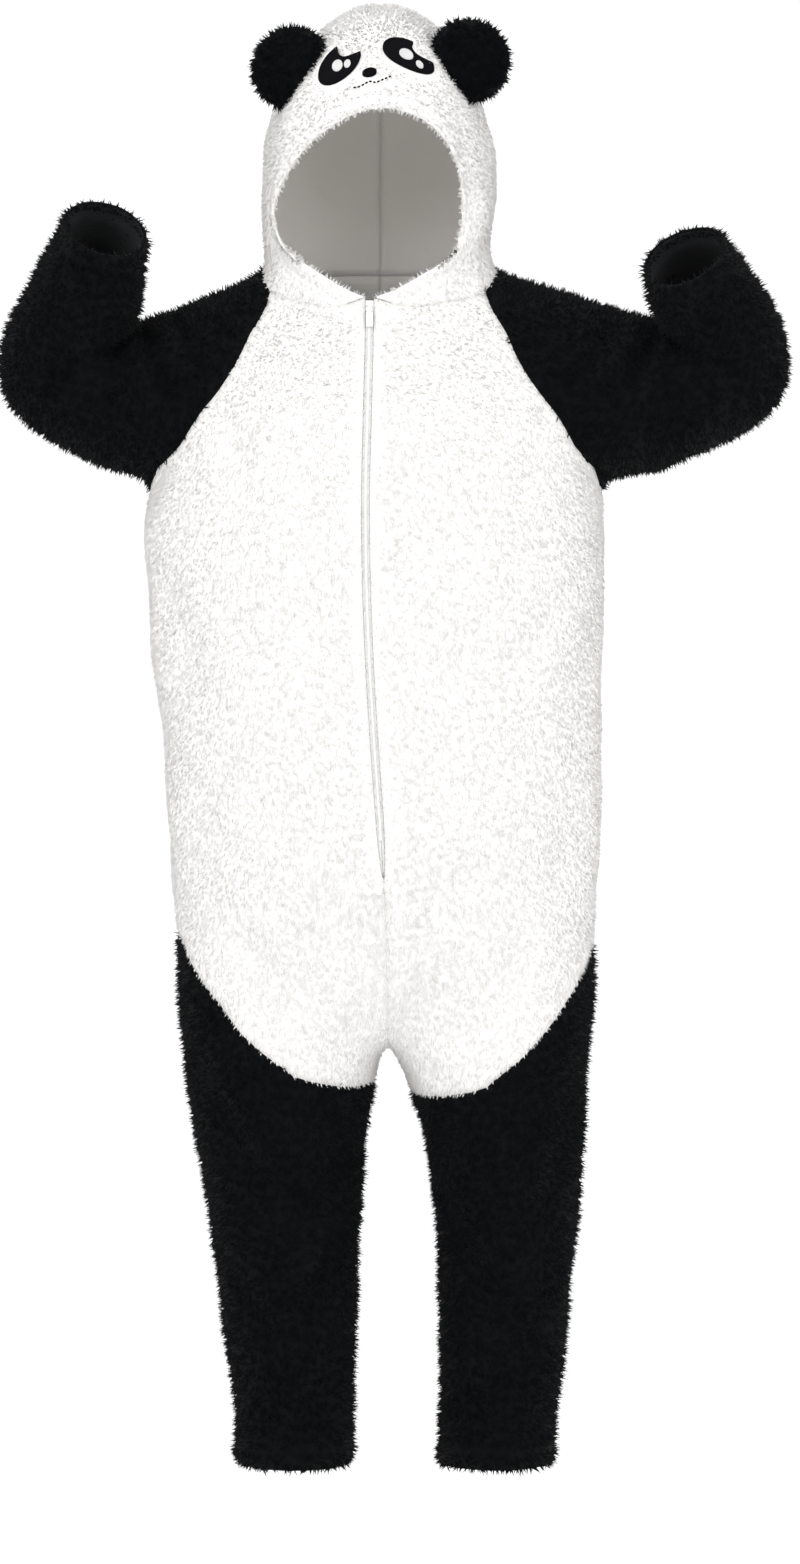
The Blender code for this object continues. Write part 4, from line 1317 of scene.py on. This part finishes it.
@dataclass
class Zip:
    """The white front zip: tapes, coil, slider and pull tab."""

    pitch: float = 1.35 * MM
    tooth_length: float = 2.7 * MM
    tooth_radius: float = 0.58 * MM
    depth: float = 1.5 * MM
    top: float = -0.006
    bottom: float = -0.544
    chain_bottom: float = -0.497
    chain_start: float = 12 * MM
    tape_start: float = 9 * MM
    section: tuple = (
        (0.1, 2.1), (3.2, 1.6), (3.7, 2.1), (4.4, 4.0), (6.0, 4.5), (13.5, 4.6),
        (13.5, 5.1), (5.6, 5.0), (3.9, 4.4), (3.2, 3.0), (0.1, 2.8),
    )

    def line(self, cloth: Cloth) -> np.ndarray:
        """The middle line between the two fronts' edges from the top down, with half the gap."""
        sides = {"front_left": [], "front_right": []}
        names = list(PANELS)
        for first, second, owner, _ in cloth.edge_runs[FreeEdge.ZIP]:
            sides[names[owner]] += [first, second]
        levels = np.linspace(self.top, self.bottom, 1100)
        tracks = []
        for rows in sides.values():
            places = cloth.points[sorted(set(rows))]
            places = places[np.argsort(places[:, 2])]
            track = [np.interp(levels, places[:, 2], places[:, axis]) for axis in (0, 1)]
            tracks.append(np.stack(track, axis=1))
        middle = (tracks[0] + tracks[1]) / 2
        return np.column_stack((middle, levels, np.abs(tracks[0][:, 0] - tracks[1][:, 0]) / 2))

    def frame_at(self, line: np.ndarray, steps: np.ndarray, at: float) -> tuple[Vector, Vector, Vector, float]:
        """The zip's place and directions at a length below its top.

        Args:
            line: The middle line.
            steps: Its running length.
            at: The length below the top.

        Returns:
            The place, the directions down the zip and into the garment, and half the gap.
        """
        here = [float(np.interp(at, steps, line[:, axis])) for axis in range(4)]
        ahead = [float(np.interp(at + 4 * MM, steps, line[:, axis])) for axis in range(3)]
        back = [float(np.interp(at - 4 * MM, steps, line[:, axis])) for axis in range(3)]
        down = (Vector(ahead) - Vector(back)).normalized()
        inward = Vector((1, 0, 0)).cross(down).normalized()
        if inward.y < 0:
            inward = -inward
        return Vector(here[:3]), down, inward, here[3]

    def build(self, cloth: Cloth, wardrobe: Wardrobe) -> None:
        """Builds the coil and the tapes, and finishes the slider and tab."""
        line = self.line(cloth)
        steps = running_length(line[:, :3])
        work = bmesh.new()
        bmesh.ops.create_cone(work, cap_ends=True, segments=6, radius1=1, radius2=0.8, depth=1)
        rings = [edge for edge in work.edges if abs(edge.verts[0].co.z - edge.verts[1].co.z) < 0.1]
        bmesh.ops.bevel(work, geom=rings, offset=0.2, segments=1, profile=0.5, affect="EDGES", material=-1)
        tooth = bpy.data.meshes.new("tooth")
        work.to_mesh(tooth)
        work.free()
        coil = bmesh.new()
        length = steps[np.searchsorted(-line[:, 2], -self.chain_bottom)] - self.chain_start
        count = int(length / self.pitch)
        for number in range(count * 2):
            place, down, inward, _ = self.frame_at(line, steps, self.chain_start + number / 2 * self.pitch)
            across = Vector((1 if number % 2 else -1, 0, 0))
            middle = place + inward * self.depth + across * 0.55 * MM
            turn = Matrix((down, inward, across)).transposed().to_4x4()
            size = Matrix.Diagonal((self.tooth_radius, self.tooth_radius * 1.25, self.tooth_length, 1))
            shape = Matrix.Translation(middle) @ turn @ size
            before = len(coil.verts)
            coil.from_mesh(tooth)
            coil.verts.ensure_lookup_table()
            bmesh.ops.transform(coil, matrix=shape, verts=coil.verts[before:])
        bmesh.ops.recalc_face_normals(coil, faces=coil.faces)
        teeth = finished_object(coil, "coil_teeth", [wardrobe.nylon])
        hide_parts("zip_chain")
        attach(teeth, GARMENT)
        LOG.info("zip: %d teeth", count * 2)
        for side, node in ((1, "zip_tape_left"), (-1, "zip_tape_right")):
            tape = self.tape(line, steps, side, "woven_" + node, wardrobe.tape)
            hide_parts(node)
            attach(tape, GARMENT)
        self.dress("zip_slider", wardrobe.enamel, GARMENT, 0.35 * MM, "slider_body")
        self.dress("zip_pull", wardrobe.enamel, PULL_TAB, 0.25 * MM, "pull_tab_metal")

    def tape(self, line: np.ndarray, steps: np.ndarray, side: int, name: str, material: Material) -> Object:
        """One tape, which steps up from behind the front into the gap beside the coil.

        Args:
            line: The middle line.
            steps: Its running length.
            side: 1 for the wearer's left, -1 for the right.
            name: The piece's name.
            material: Its finish.

        Returns:
            The tape.
        """
        work = bmesh.new()
        bmesh.ops.create_circle(work, cap_ends=False, segments=len(self.section), radius=1)
        work.verts.ensure_lookup_table()
        edges, ring = list(work.edges), list(work.verts)
        stops = np.linspace(self.tape_start, steps[-1], 72)
        for number, stop in enumerate(stops):
            if number:
                grown = bmesh.ops.extrude_edge_only(work, edges=edges)["geom"]
                edges, fresh = edges_in(grown), set(points_in(grown))
                ring = [
                    next(edge.other_vert(vert) for edge in vert.link_edges if edge.other_vert(vert) in fresh)
                    for vert in ring
                ]
            place, _, inward, gap = self.frame_at(line, steps, float(stop))
            for vert, (x, depth) in zip(ring, self.section):
                x = x if x > 4.1 else min(x, gap / MM - 0.3) if x > 1 else min(x, 0.1)
                vert.co = place + Vector((side * x * MM, 0, 0)) + inward * depth * MM
            if number == 0:
                bmesh.ops.edgeloop_fill(work, edges=edges)
        bmesh.ops.edgeloop_fill(work, edges=edges)
        bmesh.ops.recalc_face_normals(work, faces=work.faces)
        return finished_object(work, name, [material])

    def dress(self, node: str, material: Material, body: str, edge: float, name: str) -> None:
        """Finishes a copy of a small frame node.

        Args:
            node: The frame node.
            material: Its finish.
            body: The body it rides on.
            edge: How far its corners are rounded, in metres.
            name: The new piece's name.
        """
        work = bmesh.new()
        work.from_mesh(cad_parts[node].data)
        bmesh.ops.remove_doubles(work, verts=work.verts, dist=SAME_POINT)
        bmesh.ops.dissolve_limit(work, angle_limit=math.radians(1), verts=work.verts, edges=work.edges)
        inner = [item for item in work.edges if len(item.link_faces) == 2]
        sharp = [item for item in inner if item.calc_face_angle() > math.radians(35)]
        bmesh.ops.bevel(
            work, geom=sharp, offset=edge, segments=2, profile=0.5, affect="EDGES", material=-1, clamp_overlap=True
        )
        item = finished_object(work, name, [material], smooth=False)
        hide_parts(node)
        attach(item, body)


# ---------------------------------------------------------------------- studio


@dataclass
class Studio:
    """A white cyclorama, soft lights and the camera."""

    floor: float = -1.34
    camera_place: tuple = (0.0186, -4.5, -0.235)
    aim: tuple = (0.0186, 0.0, -0.448)
    lamp_aim: tuple = (0.0, 0.0, -0.4)
    lens: float = 111.4

    def build(self) -> None:
        """Builds the stage."""
        self.backdrop()
        self.light("key", (-2.4, -3.4, 2.0), 2.6, 62)
        self.light("fill", (2.8, -3.0, 0.6), 2.6, 34)
        self.light("top", (0.0, -0.6, 3.2), 3.0, 16)
        world = bpy.data.worlds.new("studio")
        world.use_nodes = True
        sky = world.node_tree.nodes["Background"]
        sky.inputs["Color"].default_value = (1, 1, 1, 1)
        sky.inputs["Strength"].default_value = 0.95
        bpy.context.scene.world = world
        bpy.context.scene.view_settings.view_transform = "Standard"
        camera = bpy.data.objects.new("camera", bpy.data.cameras.new("camera"))
        camera.data.lens = self.lens
        camera.data.sensor_width = 36
        camera.location = self.camera_place
        camera.rotation_euler = self.turned(self.camera_place, self.aim)
        bpy.context.scene.collection.objects.link(camera)
        bpy.context.scene.camera = camera

    def turned(self, place: tuple, aim: tuple) -> Euler:
        """The turn that points a camera or a lamp at a place."""
        return (Vector(aim) - Vector(place)).to_track_quat("-Z", "Y").to_euler()

    def backdrop(self) -> None:
        """Builds the floor, which curves up into a wall."""
        work = bmesh.new()
        bmesh.ops.create_grid(work, x_segments=2, y_segments=2, size=1)
        bmesh.ops.scale(work, verts=work.verts, vec=(9, 5.5, 1))
        bmesh.ops.translate(work, verts=work.verts, vec=(0, -3.0, self.floor))
        rear = [edge for edge in work.edges if all(vert.co.y > 2.4 for vert in edge.verts)]
        for number in range(12):
            bend = math.radians(90 * (number + 0.5) / 12)
            grown = bmesh.ops.extrude_edge_only(work, edges=rear)["geom"]
            step = (0, 0.16 * math.cos(bend), 0.16 * math.sin(bend))
            bmesh.ops.translate(work, verts=points_in(grown), vec=step)
            rear = edges_in(grown)
        grown = bmesh.ops.extrude_edge_only(work, edges=rear)["geom"]
        bmesh.ops.translate(work, verts=points_in(grown), vec=(0, 0, 5))
        bmesh.ops.recalc_face_normals(work, faces=work.faces)
        if sum(face.normal.z for face in work.faces) < 0:
            bmesh.ops.reverse_faces(work, faces=work.faces)
        paper = PaperFinish("studio_paper", 0.9, light=(0.95, 0.95, 0.95, 1), dark=(0.94, 0.94, 0.94, 1)).build()
        finished_object(work, "studio_paper", [paper])

    def light(self, name: str, place: tuple, size: float, power: float) -> None:
        """Adds a square soft light that looks at the garment.

        Args:
            name: The light's name.
            place: Where it stands, in metres.
            size: Its side, in metres.
            power: Its power in watts.
        """
        lamp = bpy.data.lights.new(name, "AREA")
        lamp.size = size
        lamp.energy = power
        item = bpy.data.objects.new(name, lamp)
        item.location = place
        item.rotation_euler = self.turned(place, self.lamp_aim)
        bpy.context.scene.collection.objects.link(item)


# ----------------------------------------------------------------------- build


def main() -> None:
    """Builds the garment and its studio."""
    logging.basicConfig(level=logging.INFO, format="%(name)s: %(message)s")
    wardrobe = Wardrobe()
    cloth = Cloth()
    cloth.sew()
    cloth.drape()
    LOG.info("cloth: %d points", len(cloth.points))
    face = Face()
    pile = Pile(keep_off=[*face.black, face])
    for name, cut in PANELS.items():
        coat = pile.on_panel(cloth, name, wardrobe.pile[cut.plush])
        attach(coat, GARMENT)
        panel = cloth.panel(name, wardrobe)
        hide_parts(name)
        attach(panel, GARMENT)
        LOG.info("panel: %s, %d faces in its pile", name, len(coat.data.polygons))
    face.build(cloth, wardrobe)
    for node in ("ear_left", "ear_right"):
        Ear(node).build(pile, wardrobe)
    Zip().build(cloth, wardrobe)
    bpy.data.objects.remove(cloth.skin)
    Studio().build()


if __name__ == "__main__":
    main()
